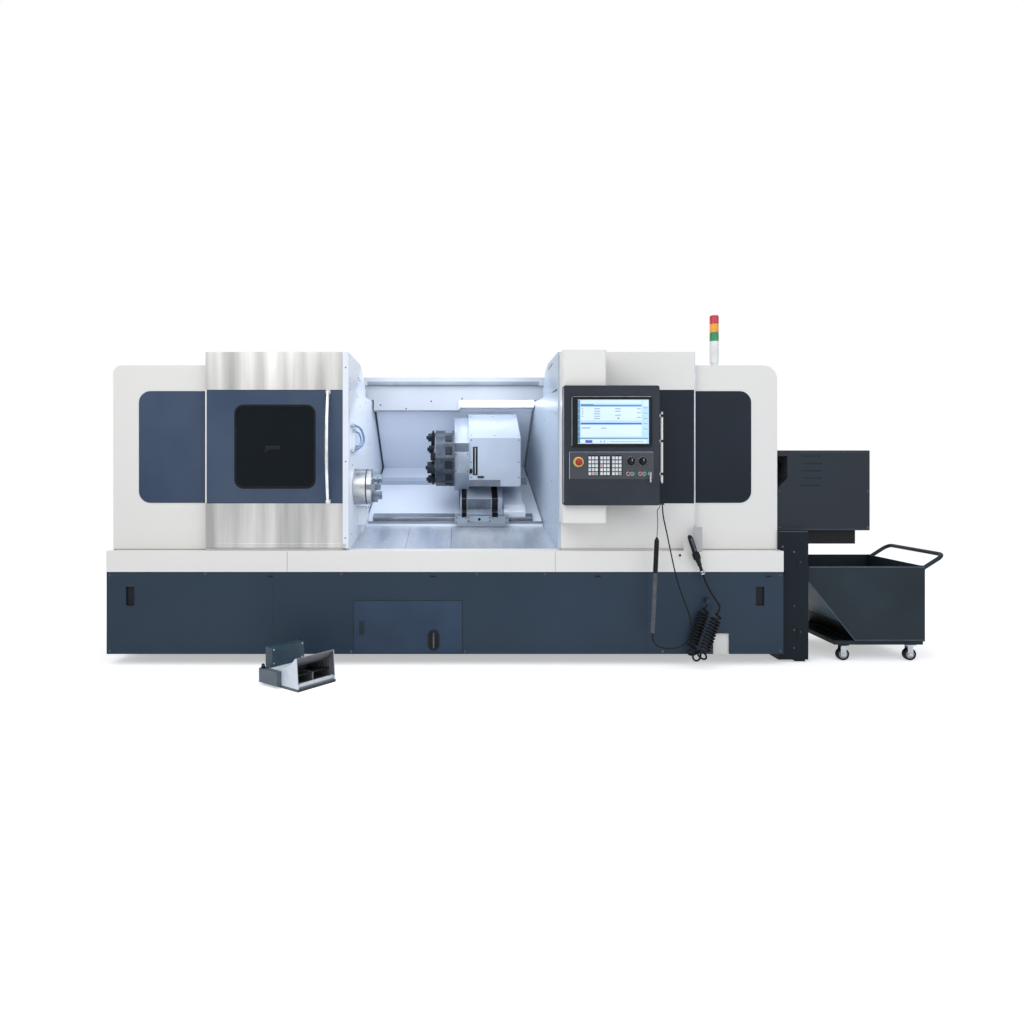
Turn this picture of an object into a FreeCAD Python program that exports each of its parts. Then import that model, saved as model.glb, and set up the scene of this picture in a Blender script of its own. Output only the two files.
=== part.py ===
import FreeCAD, Part
import math
import os
import re
import Sketcher
from FreeCAD import Placement, Rotation, Vector

# CNC turning lathe with a chip conveyor, a chip cart, a foot switch and a coolant gun.
# x runs along the spindle to the right, y to the rear, z up. The origin lies on the floor under
# the middle of the whole set. Places in the sheet are measured from the middle of the door
# opening (x), from the front of the fixed guard (y) and from the floor (z).

SIZES = [
    # base and fixed guard
    ("base_left", -2080), ("base_right", 1903), ("base_front", -90), ("base_back", 1400),
    ("skirt_low", 66), ("skirt_top", 550), ("skirt_wall", 10), ("skirt_set", 4),
    ("flange_wide", 150), ("flange_front", 400), ("foot_radius", 55), ("band_top", 672), ("band_ledge", 135),
    ("band_wall", 40), ("rail_wide", 12), ("rail_gap", 0.3), ("cover_thick", 3),
    ("guard_top", 1777), ("guard_flat", 830), ("guard_rear_top", 1500), ("guard_wall", 25),
    ("left_guard_end", -700), ("right_guard_start", 604), ("left_round", 50), ("right_round", 85),
    ("stripe_low", 952), ("stripe_high", 1622), ("stripe_round", 70), ("stripe_lift", 3),
    ("stripe_left", -1925), ("stripe_right", 1746), ("side_top", 1635),
    ("left_wall_front", -663), ("left_wall_rear", -594), ("right_wall_front", 600),
    ("right_wall_rear", 500), ("wall_depth", 1254), ("wall_gap", 4), ("wall_top_gap", 28.5),
    ("cabinet_back", 1650),
    ("cabinet_low", 300), ("cabinet_high", 1700), ("cabinet_left", -760), ("cabinet_right", 900),
    # sloping ways, rear sheet and floor sheets
    ("foot_back", 515), ("foot_high", 787), ("slant", 27), ("slope_run", 831),
    ("sheet_back", 8), ("sheet_drop", 3), ("floor_front", 35), ("floor_back", 512),
    ("floor_high", 768), ("floor_thick", 3), ("seam_left", -330), ("seam_right", -55),
    ("way_wide", 50), ("way_lift", 30), ("way_low", 40), ("way_pitch", 520),
    ("bed_drop", 25), ("bed_left", -1600), ("bed_right", 1300), ("swing", 372),
    ("slide_play", 0.1), ("sheet_gap", 8),
    # spindle and chuck
    ("spindle_along", -164), ("chuck_radius", 110), ("chuck_face", -548), ("chuck_back", -690),
    ("bar_radius", 33), ("shaft_radius", 60), ("run_play", 0.05), ("nose_radius", 90),
    ("head_left", -1250), ("head_right", -715), ("shaft_end", -1330), ("drum_radius", 80),
    ("jaw_wide", 30), ("jaw_deep", 25), ("jaw_step", 28), ("jaw_inner", 44), ("jaw_outer", 104),
    # saddle, cross slide and turret
    ("saddle_left", -7), ("saddle_right", 290), ("saddle_run", 640), ("saddle_thick", 75),
    ("groove_deep", 22), ("turret_along", 240), ("turret_radius", 187), ("turret_left", -162),
    ("turret_right", -37), ("bore_radius", 20), ("bore_deep", 60), ("bore_circle", 140),
    ("sleeve_radius", 39), ("sleeve_reach", 52), ("slide_left", -36.8), ("slide_middle", 60),
    ("slide_right", 400), ("slide_front", 450), ("slide_low", 1040), ("slide_high", 1363),
    # sliding doors
    ("door_front", -45), ("door_wall", 35), ("door_low", 684), ("door_top", 1850),
    ("roof_thick", 30), ("roof_flat", 450), ("roof_end", 650), ("roof_end_high", 1796),
    ("gusset_low", 1640), ("gusset_end", 768), ("gusset_drop", 1710), ("left_door_left", -1512),
    ("left_door_edge", 33), ("right_door_left", 582), ("right_door_right", 1398),
    ("right_door_edge", 18), ("door_stripe_low", 951), ("door_stripe_high", 1625),
    ("door_stripe_lift", 2), ("window_left", -1326), ("window_right", -871),
    ("window_low", 1052), ("window_high", 1524), ("window_round", 40), ("glass_thick", 8),
    ("grip_across", -782), ("grip_low", 949), ("grip_high", 1625), ("grip_reach", 62),
    ("grip_radius", 11), ("post_long", 14),
    # operator panel
    ("column_left", 590), ("column_right", 843), ("column_low", 845), ("column_high", 1838),
    ("panel_front", -240), ("panel_back", -200), ("panel_left", 586), ("panel_right", 1134),
    ("panel_low", 948), ("panel_high", 1630), ("panel_round", 14), ("screen_left", 633),
    ("screen_right", 1090), ("screen_low", 1280), ("screen_high", 1567), ("screen_lift", 8),
    ("screen_frame", 34), ("keys_left", 619), ("keys_right", 1099), ("keys_low", 1097),
    ("keys_high", 1253), ("keys_lift", 4), ("key_wide", 15), ("key_tall", 17),
    ("key_pitch", 19), ("key_rise", 22.3), ("key_first", 729), ("key_bottom", 1120),
    ("key_group", 67), ("key_lift", 3), ("button_radius", 8.5), ("button_play", 0.3),
    ("button_high", 1128), ("button_first", 955), ("button_pitch", 23), ("knob_radius", 22),
    ("knob_high", 1199), ("knob_first", 972), ("knob_pitch", 66), ("knob_long", 22),
    ("switch_inset", 58), ("stop_across", 672), ("stop_high", 1195), ("stop_radius", 20),
    ("stem_long", 18), ("bar_reach", 18), ("bar_low", 1075), ("bar_high", 1479),
    ("bar_thick", 8),
    # conveyor
    ("riser_right", 2083), ("riser_front", -15), ("riser_back", 435), ("riser_top", 785),
    ("riser_low", 15), ("trough_low", 200), ("trough_high", 420), ("trough_left", -560),
    ("head_left_side", 1912), ("head_notch", 1973), ("head_right_side", 2469),
    ("head_top", 1267), ("head_front", 20), ("head_back", 470), ("chute_left", 2116),
    ("chute_right", 2402), ("chute_low", 701), ("plate_thick", 5),
    # chip cart
    ("cart_left", 2091), ("cart_right", 2790), ("cart_front", 0), ("cart_back", 630),
    ("cart_rim", 571), ("cart_step", 480), ("cart_toe", 2376), ("frame_low", 96),
    ("frame_high", 120), ("frame_lead", 57), ("beam_wide", 40), ("handle_right", 2930),
    ("handle_low", 555), ("handle_high", 638), ("handle_radius", 12), ("wheel_radius", 36),
    ("wheel_wide", 28), ("wheel_lift", 0.5), ("axle_radius", 6), ("caster_trail", 18),
    ("stem_radius", 9), ("caster_first", 2313), ("caster_last", 2735),
    # foot switch
    ("pedal_across", -837), ("pedal_front", -626), ("pedal_turn", 51.5), ("pedal_wide", 260),
    ("pedal_long", 254), ("hood_high", 172), ("hood_wall", 8), ("pin_radius", 4),
    # coolant gun, lamp and cords
    ("cord_radius", 3.75), ("hose_radius", 5.5), ("curl_radius", 26.5), ("gun_across", 1330),
    ("gun_back", -130), ("gun_high", 784), ("gun_lean", 19.4), ("gun_radius", 15),
    ("ring_wall", 6), ("lamp_radius", 13),
    # signal tower
    ("tower_across", 1552), ("tower_back", 80), ("tower_radius", 27),
]

doc = FreeCAD.newDocument("turning_lathe")
sheet = doc.addObject("Spreadsheet::Sheet", "dims")
for row, (alias, value) in enumerate(SIZES, 1):
    sheet.set(f"A{row}", alias)
    sheet.set(f"B{row}", str(value))
    sheet.setAlias(f"B{row}", alias)
doc.recompute()

ALIASES = {alias for alias, value in SIZES}
WORD = re.compile(r"[a-z]+(?:_[a-z]+)*")
MIDDLE_X = "(base_left + handle_right) / 2"
MIDDLE_Y = "(cabinet_back + pedal_front) / 2"
AXES = {"YZ_Plane": (1, 2), "XZ_Plane": (0, 2), "XY_Plane": (0, 1)}
ALONG = {"x": Rotation(Vector(0, 1, 0), 90), "y": Rotation(Vector(1, 0, 0), -90), "z": Rotation()}
NODES = {}


# ---------------------------------------------------------------- shared makers

def formula(text):
    """The text with each size's name pointed at its cell."""
    return WORD.sub(lambda word: "dims." + word.group() if word.group() in ALIASES else word.group(),
                    str(text))


def value_of(text):
    """The number that a formula gives now."""
    return float(sheet.evalExpression(formula(text)))


MIDDLE = Vector(value_of(MIDDLE_X), value_of(MIDDLE_Y), 0)


def put(thing, x=0, y=0, z=0):
    """Bind the thing's place, given in the sheet's own axes."""
    for axis, place, middle in (("x", x, MIDDLE_X), ("y", y, MIDDLE_Y), ("z", z, 0)):
        thing.setExpression(f"Placement.Base.{axis}", formula(f"({place}) - ({middle})"))
    return thing


def block(name, x, y, z):
    """A box between two formulas on each axis."""
    solid = doc.addObject("Part::Box", name)
    for side, (low, high) in (("Length", x), ("Width", y), ("Height", z)):
        solid.setExpression(side, formula(f"({high}) - ({low})"))
    return put(solid, x[0], y[0], z[0])


def rod(name, axis, start, radius, length):
    """A cylinder from a start point along +x, +y or +z."""
    solid = doc.addObject("Part::Cylinder", name)
    solid.setExpression("Radius", formula(radius))
    solid.setExpression("Height", formula(length))
    solid.Placement = Placement(Vector(), ALONG[axis])
    return put(solid, *start)


def outline_sketch(body, plane, outline):
    """A closed sketch on one of the body's own planes, each corner bound to the sheet."""
    ground = [face for face in body.Origin.OriginFeatures if face.Role == plane][0]
    sketch = body.newObject("Sketcher::SketchObject", body.Name + "_outline")
    sketch.AttachmentSupport = [(ground, "")]
    sketch.MapMode = "FlatFace"
    corners = [Vector(value_of(a), value_of(b), 0) for a, b in outline]
    count = len(corners)
    for index in range(count):
        sketch.addGeometry(Part.LineSegment(corners[index], corners[(index + 1) % count]))
    for index in range(count):
        sketch.addConstraint(Sketcher.Constraint("Coincident", index, 2, (index + 1) % count, 1))
    for index, corner in enumerate(outline):
        for kind, text in zip(("DistanceX", "DistanceY"), corner):
            number = sketch.addConstraint(Sketcher.Constraint(kind, -1, 1, index, 1, 1.0))
            sketch.setExpression(f"Constraints[{number}]", formula(text))
    return sketch


def prism(name, plane, outline, ends, rounds=()):
    """A body padded from an outline between two places along the plane's axis.

    rounds holds (corners, radius) pairs; the edges that run along the pad at those corners
    are rounded.
    """
    body = doc.addObject("PartDesign::Body", name)
    sketch = outline_sketch(body, plane, outline)
    pad = body.newObject("PartDesign::Pad", name + "_pad")
    pad.Profile = sketch
    pad.setExpression("Length", formula(f"({ends[1]}) - ({ends[0]})"))
    start = f"-({ends[0]})" if plane == "XZ_Plane" else ends[0]
    sketch.setExpression("AttachmentOffset.Base.z", formula(start))
    pad.Reversed = plane == "XZ_Plane"
    put(body)
    doc.recompute()
    first, second = AXES[plane]
    latest = pad
    for corners, radius in rounds:
        wanted = [(value_of(a), value_of(b)) for a, b in corners]
        names = []
        for index, edge in enumerate(latest.Shape.Edges, 1):
            tips = [vertex.Point for vertex in edge.Vertexes]
            if len(tips) == 2 and any(all(abs(tip[first] - a) < 0.01 and abs(tip[second] - b) < 0.01
                                          for tip in tips) for a, b in wanted):
                names.append(f"Edge{index}")
        fillet = body.newObject("PartDesign::Fillet", name + "_round")
        fillet.Base = (latest, names)
        fillet.setExpression("Radius", formula(radius))
        body.Tip = fillet
        latest = fillet
        doc.recompute()
    return body


def turned(name, outline):
    """A body turned about its own z axis from (radius, height) corners."""
    body = doc.addObject("PartDesign::Body", name)
    sketch = outline_sketch(body, "XZ_Plane", outline)
    turn = body.newObject("PartDesign::Revolution", name + "_turn")
    turn.Profile = sketch
    turn.ReferenceAxis = (sketch, ["V_Axis"])
    turn.Angle = 360
    return body


def rectangle(left, right, low, high):
    return [(left, low), (right, low), (right, high), (left, high)]


def join(name, *pieces):
    fused = doc.addObject("Part::MultiFuse", name)
    fused.Shapes = list(pieces)
    fused.Refine = True
    return fused


def cut(name, base, *tools):
    result = doc.addObject("Part::Cut", name)
    result.Base = base
    result.Tool = tools[0] if len(tools) == 1 else join(name + "_tools", *tools)
    result.Refine = True
    return result


def node(name, thing):
    """Keep the thing as the sub-part of that name."""
    thing.Label = name
    NODES[name] = thing
    return thing


def shaped(name, shape):
    """A sub-part whose shape is worked out here in the sheet's axes."""
    thing = doc.addObject("Part::Feature", name)
    thing.Shape = shape
    return put(thing)


def seat(thing, frame, x=0, y=0, z=0, turn=Rotation()):
    """Place the thing in a local frame that is given in the sheet's axes."""
    local = frame.multiply(Placement(Vector(x, y, z), turn))
    thing.Placement = Placement(local.Base - MIDDLE, local.Rotation)
    return thing


def box_in(name, frame, x, y, z):
    """A box between numbers on each axis of a local frame."""
    solid = doc.addObject("Part::Box", name)
    solid.Length = x[1] - x[0]
    solid.Width = y[1] - y[0]
    solid.Height = z[1] - z[0]
    return seat(solid, frame, x[0], y[0], z[0])


def rod_in(name, frame, start, axis, radius, length):
    solid = doc.addObject("Part::Cylinder", name)
    solid.Radius = radius
    solid.Height = length
    return seat(solid, frame, *start, ALONG[axis])


# ---------------------------------------------------------------- the sloping ways

def on_way(along, lift):
    """Formulas for y and z of a point up the slope and square off it."""
    y = f"foot_back + ({along}) * cos(slant * 1 deg) - ({lift}) * sin(slant * 1 deg)"
    z = f"foot_high + ({along}) * sin(slant * 1 deg) + ({lift}) * cos(slant * 1 deg)"
    return y, z


def way_block(name, x, along, lift):
    """A box whose sides follow the slope."""
    solid = doc.addObject("Part::Box", name)
    for side, (low, high) in (("Length", x), ("Width", along), ("Height", lift)):
        solid.setExpression(side, formula(f"({high}) - ({low})"))
    solid.Placement = Placement(Vector(), Rotation(Vector(1, 0, 0), value_of("slant")))
    solid.setExpression("Placement.Rotation.Angle", formula("slant * 1 deg"))
    return put(solid, x[0], *on_way(along[0], lift[0]))


SPINDLE_Y, SPINDLE_Z = on_way("spindle_along", "swing")
TURRET_Y, TURRET_Z = on_way("turret_along", "swing")
WAYS = ["way_low", "way_low + way_pitch"]


# ---------------------------------------------------------------- base

def make_base():
    band = block("band_outer", ("base_left", "base_right"), ("base_front", "base_back"),
                 ("skirt_top", "band_top"))
    well = block("band_well", ("base_left + band_wall", "base_right - band_wall"),
                 ("base_front + band_ledge", "base_back - band_wall"),
                 ("skirt_top - 1", "band_top + 1"))
    rails = [block("rail_" + side, (left, right), ("door_front + rail_wide", "door_front + 2 * rail_wide"),
                   ("band_top", "door_low - rail_gap"))
             for side, left, right in (("a", "left_door_left", "left_guard_end"),
                                       ("b", "right_guard_start", "right_door_right"))]
    node("base_band", join("base_band", cut("band_ring", band, well), *rails))

    front = "base_front + skirt_set"
    outer = block("skirt_outer", ("base_left", "base_right"), (front, "base_back"),
                  ("skirt_low", "skirt_top"))
    room = block("skirt_room", ("base_left + skirt_wall", "base_right - skirt_wall"),
                 (front + " + skirt_wall", "base_back - skirt_wall"),
                 ("skirt_low + skirt_wall", "skirt_top + 1"))
    floor = block("skirt_floor", ("base_left + flange_wide", "base_right - flange_wide"),
                  (front + " + flange_front", "base_back - flange_wide"),
                  ("skirt_low - 1", "skirt_low + skirt_wall + 1"))
    tools = [room, floor]
    for name, left, right, low, high in (("slot_left", -1965, -1917, 351, 461),
                                         ("slot_right", 1743, 1790, 351, 461),
                                         ("hatch", -600, -10, 92, 352),
                                         ("notch", 1490, 1586, 60, 188)):
        tools.append(block(name, (left, right), (front + " - 1", front + " + flange_wide / 2"),
                           (low, high)))
    tools.append(block("trough_port", ("base_right - 2 * skirt_wall", "base_right + 1"),
                       ("riser_front - 5", "riser_back + 5"), ("trough_low - 5", "trough_high + 5")))
    end = hose_end()
    middle = end - HOSE_DOWN * 22
    elbow = block("elbow", (middle.x - 11, middle.x + 11), (middle.y - 11, front),
                  (middle.z - 11, middle.z + 11))
    upward = Placement(end, Rotation(Vector(0, 0, 1), HOSE_DOWN * -1))
    spigot = rod_in("spigot", upward, (0, 0, 0.2), "z", 8, 14)
    node("base_skirt", join("base_skirt", cut("skirt_shell", outer, *tools), elbow, spigot))

    cover = block("cover_plate", (-623, 12), (front + " - cover_thick", front), (76, 378))
    screws = [rod(f"cover_screw_{x}_{z}", "y", (x, front + " - cover_thick - 3", z), 6, 3.5)
              for x in (-610, -1) for z in (90, 364)]
    node("access_cover", join("access_cover", cover, *screws))

    face = front + " - cover_thick"
    ring = prism("gauge_ring", "XZ_Plane", rectangle(-186, -124, 90, 207), (face + " - 9", face),
                 [(rectangle(-186, -124, 90, 207), 30.9)])
    dish = prism("gauge_dish", "XZ_Plane", rectangle(-174, -136, 102, 195), (face + " - 10", face + " - 4"),
                 [(rectangle(-174, -136, 102, 195), 18.9)])
    glass = rod("gauge_glass", "z", (-155, face + " - 5", 100), 5, 97)
    node("level_gauge", join("level_gauge", cut("gauge_frame", ring, dish), glass))

    feet = []
    for x in (-1900, -80, 1740):
        for y in (240, 1320):
            pad = doc.addObject("Part::Cone", "pad")
            pad.setExpression("Radius1", formula("foot_radius"))
            pad.setExpression("Radius2", formula("foot_radius * 0.6"))
            pad.Height = 28
            feet.append(put(pad, x, y, 0))
            feet.append(rod("screw", "z", (x, y, 27), 14, "skirt_low - 27"))
            nut = doc.addObject("Part::Prism", "nut")
            nut.Polygon = 6
            nut.Circumradius = 24
            nut.Height = 16
            feet.append(put(nut, x, y, 42))
    node("levelling_feet", join("levelling_feet", *feet))


def make_bed():
    under = "-bed_drop"
    top_y, top_z = on_way("slope_run + 30", under)
    low_y, low_z = on_way("spindle_along - 136", under)
    floor = "skirt_low + skirt_wall"
    back = "base_back - band_wall"
    main = prism("bed_main", "YZ_Plane", [(560, floor), (back, floor), (back, top_z), (top_y, top_z),
                                          (low_y, low_z), (200, 560), (560, 480)],
                 ("bed_left", "bed_right"))
    left = block("bed_leg", ("bed_left", "trough_left - 80"), (40, 600), (floor, 545))
    ways = [way_block("way", (-585, 488), (low, f"{low} + way_wide"), (f"{under} - 2", "way_lift"))
            for low in WAYS]
    node("bed_casting", join("bed_casting", main, left, *ways))


def bed_room(name, ends):
    """A tool that clears the bed where it runs under a wall."""
    low, high = on_way("spindle_along - 156", "4 - bed_drop"), on_way("slope_run + 40", "4 - bed_drop")
    behind = "base_back + 1"
    return prism(name, "YZ_Plane", [low, high, (behind, high[1]), (behind, 600), (low[0], 600)],
                 ends)


def roof_room(name, ends):
    """A tool that clears whatever stands above the rear roof sheet's underside."""
    low = "guard_rear_top - plate_thick"
    return prism(name, "YZ_Plane", [("guard_flat", "guard_top - plate_thick"), ("base_back", low),
                                    ("base_back", 1900), ("guard_flat", 1900)], ends)


def make_side_walls():
    plan = [("left_guard_end", 0), ("left_wall_front", 0), ("left_wall_rear", "wall_depth"),
            ("left_guard_end", "wall_depth")]
    wall = prism("left_wall", "XY_Plane", plan, ("band_top", "side_top"))
    outlet = block("coolant_outlet", ("left_wall_front - 5", "left_wall_front + 22"), (60, 250), (1275, 1440))
    hole = rod("chuck_hole", "x", ("left_guard_end - 1", SPINDLE_Y, SPINDLE_Z), "chuck_radius + 4", 120)
    ends = ("left_guard_end - 1", "left_wall_rear + 1")
    node("headstock_partition", cut("headstock_partition", join("left_wall_block", wall, outlet), hole,
                                    bed_room("left_bed_room", ends), roof_room("left_roof_room", ends)))


def side_wedges(name, clear):
    """Two tools that clear whatever lies outside the slanted side walls."""
    deep = "wall_depth + 300"
    tools = []
    for side, front, rear, far, sign in (("left", "left_wall_front", "left_wall_rear", -900, "+"),
                                         ("right", "right_wall_front", "right_wall_rear", 900, "-")):
        rear_far = f"{front} + ({rear} - {front}) * ({deep}) / wall_depth"
        plan = [(far, 0), (f"{front} {sign} {clear}", 0), (f"{rear_far} {sign} {clear}", deep), (far, deep)]
        tools.append(prism(f"{name}_{side}", "XY_Plane", plan, (500, 1900)))
    return tools


def make_sheets():
    front = [(870, "guard_top - wall_top_gap"), (900, 1572), on_way("slope_run", 0),
             ("foot_back", "foot_high"), ("foot_back", "floor_high")]
    back = [(f"{y} + sheet_back", f"{z} - sheet_drop") for y, z in reversed(front[1:])]
    back.append((f"{front[0][0]} + sheet_back", front[0][1]))
    sheet_body = prism("rear_sheet", "YZ_Plane", front + back, (-720, 620))
    slots = [way_block("slot", (-587, 490), (f"{low} - 2", f"{low} + way_wide + 2"), (-20, 12))
             for low in WAYS]
    node("rear_guard", cut("rear_guard", sheet_body, *side_wedges("rear_side", "wall_gap"), *slots))

    profile = [("floor_front", "band_top"), ("floor_back", "floor_high"),
               ("floor_back", "floor_high + floor_thick"), ("floor_front", "band_top + floor_thick")]
    plates = [prism(f"floor_{index}", "YZ_Plane", profile, ends)
              for index, ends in enumerate(((-720, "seam_left - 1"), ("seam_left + 1", "seam_right - 1"),
                                            ("seam_right + 1", 620)))]
    node("floor_plates", cut("floor_plates", join("floor_all", *plates),
                             *side_wedges("floor_side", 0.5)))


def make_guard(name, left, right, end, radius, stripe, stripe_side):
    """One fixed guard: a folded shell with a raised dark stripe on its front."""
    top, wall = "guard_top", "guard_wall"
    outline = [(0, "band_top"), (0, top), ("guard_flat", top), ("base_back", "guard_rear_top"),
               ("base_back", "band_top")]
    shell = doc.addObject("PartDesign::Body", name + "_shell")
    sketch = outline_sketch(shell, "YZ_Plane", outline)
    sketch.setExpression("AttachmentOffset.Base.z", formula(left))
    pad = shell.newObject("PartDesign::Pad", name + "_pad")
    pad.Profile = sketch
    pad.setExpression("Length", formula(f"({right}) - ({left})"))
    put(shell)
    doc.recompute()
    rim = value_of(end)
    high = value_of("guard_rear_top") - 1
    names = [f"Edge{index}" for index, edge in enumerate(pad.Shape.Edges, 1)
             if all(abs(tip.Point.x - rim) < 0.01 and tip.Point.z > high for tip in edge.Vertexes)]
    fillet = shell.newObject("PartDesign::Fillet", name + "_round")
    fillet.Base = (pad, names)
    fillet.setExpression("Radius", formula(radius))
    shell.Tip = fillet
    room = prism(name + "_room", "YZ_Plane",
                 [(wall, "band_top - 1"), (wall, f"{top} - {wall}"), ("guard_flat", f"{top} - {wall}"),
                  (f"base_back - {wall}", f"guard_rear_top - {wall}"),
                  (f"base_back - {wall}", "band_top - 1")],
                 (f"{left} + {wall}", f"{right} - {wall}"))
    area = rectangle(*stripe, "stripe_low", "stripe_high")
    corners = [corner for corner in area if corner[0] == stripe_side]
    panel = prism(name + "_stripe", "XZ_Plane", area, ("-stripe_lift", 0), [(corners, "stripe_round")])
    return join(name + "_skin", shell, panel), room


def end_port(name, left):
    """The opening of a guard's inner end wall, for the bed and the headstock."""
    return block(name, (f"{left} - 1", f"{left} + guard_wall + 1"),
                 ("guard_wall + 5", "base_back - guard_wall - 5"),
                 ("band_top - 1", 1250))


def make_guards():
    skin, room = make_guard("left_guard", "base_left", "left_guard_end", "base_left", "left_round",
                            ("stripe_left", "left_guard_end - 5"), "stripe_left")
    node("left_guard", cut("left_guard", skin, room, end_port("left_port", "left_guard_end - guard_wall")))

    skin, room = make_guard("right_guard", "right_guard_start", "base_right", "base_right",
                            "right_round", ("right_guard_start + 40", "stripe_right"), "stripe_right")
    wall = prism("right_wall", "XY_Plane",
                 [("right_wall_front", 0), ("right_guard_start", 0), ("right_guard_start", "wall_depth"),
                  ("right_wall_rear", "wall_depth")], ("band_top", "side_top"))
    ends = ("right_wall_rear - 1", "right_guard_start + 1")
    wall = cut("right_wall_cut", wall, bed_room("right_bed_room", ends), roof_room("right_roof_room", ends))
    shell = cut("right_hollow", skin, room, end_port("right_port", "right_guard_start"))
    node("right_guard", join("right_guard", shell, wall))


def make_top():
    span = ("left_guard_end", "right_guard_start")
    beam = block("beam", span, (775, 805), (1742, 1798))
    web = block("beam_web", span, (800, 805), (1640, 1745))
    roof = prism("rear_roof", "YZ_Plane",
                 [(804, "guard_top"), ("guard_flat", "guard_top"), ("base_back", "guard_rear_top"),
                  ("base_back", "guard_rear_top - plate_thick"), ("guard_flat", "guard_top - plate_thick"),
                  (804, "guard_top - plate_thick")], span)
    header = block("header", (-608, 0), (790, 862), (1565, 1643))
    ledge = block("lamp_ledge", (-1, 526), (832, 862), (1590, 1643))
    shelf = block("lamp_shelf", (-1, 526), (800, 862), (1640, 1643))
    node("top_frame", join("top_frame", beam, web, roof, header, ledge, shelf))

    body = block("lamp_body", (8, 522), (818, 832), (1600, 1638))
    tube = rod("lamp_tube", "x", (14, 812, 1619), 13, 502)
    caps = [rod("lamp_cap", "x", (x, 812, 1619), 16, 12) for x in (6, 512)]
    node("work_lamp", join("work_lamp", body, tube, *caps))

    tower = []
    high = "guard_top"
    for index, (radius, tall) in enumerate((("tower_radius + 5", 6), ("tower_radius - 6", 18),
                                            ("tower_radius", 128), ("tower_radius - 2", 5),
                                            ("tower_radius", 48), ("tower_radius - 2", 5),
                                            ("tower_radius", 48), ("tower_radius - 2", 5),
                                            ("tower_radius", 44), ("tower_radius - 3", 6))):
        tower.append(rod(f"tower_{index}", "z", ("tower_across", "tower_back", high), radius, tall))
        high += f" + {tall}"
    node("signal_tower", join("signal_tower", *tower))

    case = prism("cabinet_case", "YZ_Plane", rectangle("base_back", "cabinet_back", "cabinet_low",
                                                       "cabinet_high"), ("cabinet_left", "cabinet_right"),
                 [([("cabinet_back", "cabinet_high")], 12)])
    width = "(cabinet_right - cabinet_left) / 3"
    grooves = [block("door_seam",
                     (f"cabinet_left + {index} * {width}", f"cabinet_left + {index} * {width} + 4"),
                     ("cabinet_back - 4", "cabinet_back + 1"), ("cabinet_low + 30", "cabinet_high - 40"))
               for index in (1, 2)]
    vents = [block("vent",
                   (f"cabinet_left + {index} * {width} + 150", f"cabinet_left + {index} * {width} + 400"),
                   ("cabinet_back - 6", "cabinet_back + 1"),
                   (f"cabinet_low + {low}", f"cabinet_low + {low + 10}"))
             for index in (0, 2) for low in range(80, 230, 30)]
    node("rear_cabinet", cut("rear_cabinet", case, *grooves, *vents))


# ---------------------------------------------------------------- doors and operator panel

def door_profile():
    inner = "door_front + door_wall"
    under = "door_top - roof_thick"
    return [("door_front", "door_low"), ("door_front", "door_top"), ("roof_flat", "door_top"),
            ("(roof_flat + roof_end) / 2 + 10", "(door_top + roof_end_high) / 2 + 8"),
            ("roof_end", "roof_end_high"), ("roof_end", "roof_end_high - 8"),
            ("(roof_flat + roof_end) / 2", "(door_top + roof_end_high) / 2 - 18"),
            ("roof_flat", under), (inner, under), (inner, "door_low")]


def gusset_profile():
    return [("door_front", "gusset_low"), ("door_front", "door_top"), ("roof_flat", "door_top"),
            ("(roof_flat + roof_end) / 2 + 10", "(door_top + roof_end_high) / 2 + 8"),
            ("roof_end", "roof_end_high"), ("gusset_end", "gusset_drop"), ("gusset_end", "gusset_low")]


def make_left_door():
    right = "left_wall_front"
    seam = f"{right} - left_door_edge"
    leaf = prism("left_leaf", "YZ_Plane", door_profile(), ("left_door_left", right))
    gusset = prism("left_gusset", "YZ_Plane", gusset_profile(), (seam, right))
    stripe = block("left_stripe", ("left_door_left", seam), ("door_front - door_stripe_lift", "door_front"),
                   ("door_stripe_low", "door_stripe_high"))
    frame = rectangle("window_left", "window_right", "window_low", "window_high")
    hole = prism("window_hole", "XZ_Plane", frame, ("door_front - 10", "door_front + door_wall + 1"),
                 [(frame, "window_round")])
    node("left_door", cut("left_door", join("left_door_skin", leaf, gusset, stripe), hole))

    pane = rectangle("window_left + rail_gap", "window_right - rail_gap", "window_low + rail_gap",
                     "window_high - rail_gap")
    glass = prism("pane", "XZ_Plane", pane, ("door_front + 4", "door_front + 4 + glass_thick"),
                  [(pane, "window_round - rail_gap")])
    node("left_door_window", glass)

    face = value_of("door_front - door_stripe_lift")
    across, low, high = value_of("grip_across"), value_of("grip_low"), value_of("grip_high")
    post, reach, radius = value_of("post_long"), value_of("grip_reach"), value_of("grip_radius")
    inset = radius + 3
    feet = [Vector(across, face - post, high - inset), Vector(across, face - post, low + inset)]
    bow = Part.Arc(feet[0], Vector(across, face - reach, (low + high) / 2), feet[1])
    tangent = bow.tangent(bow.FirstParameter)[0]
    ring = Part.Wire(Part.Circle(feet[0], tangent, radius).toShape())
    grip = Part.Wire(bow.toShape()).makePipeShell([ring], True, False)
    posts = [Part.makeCylinder(radius + 2, post + 6, Vector(foot.x, face, foot.z), Vector(0, -1, 0))
             for foot in feet]
    shape = grip.fuse(posts)
    node("left_door_handle", shaped("left_door_handle", shape))


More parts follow.
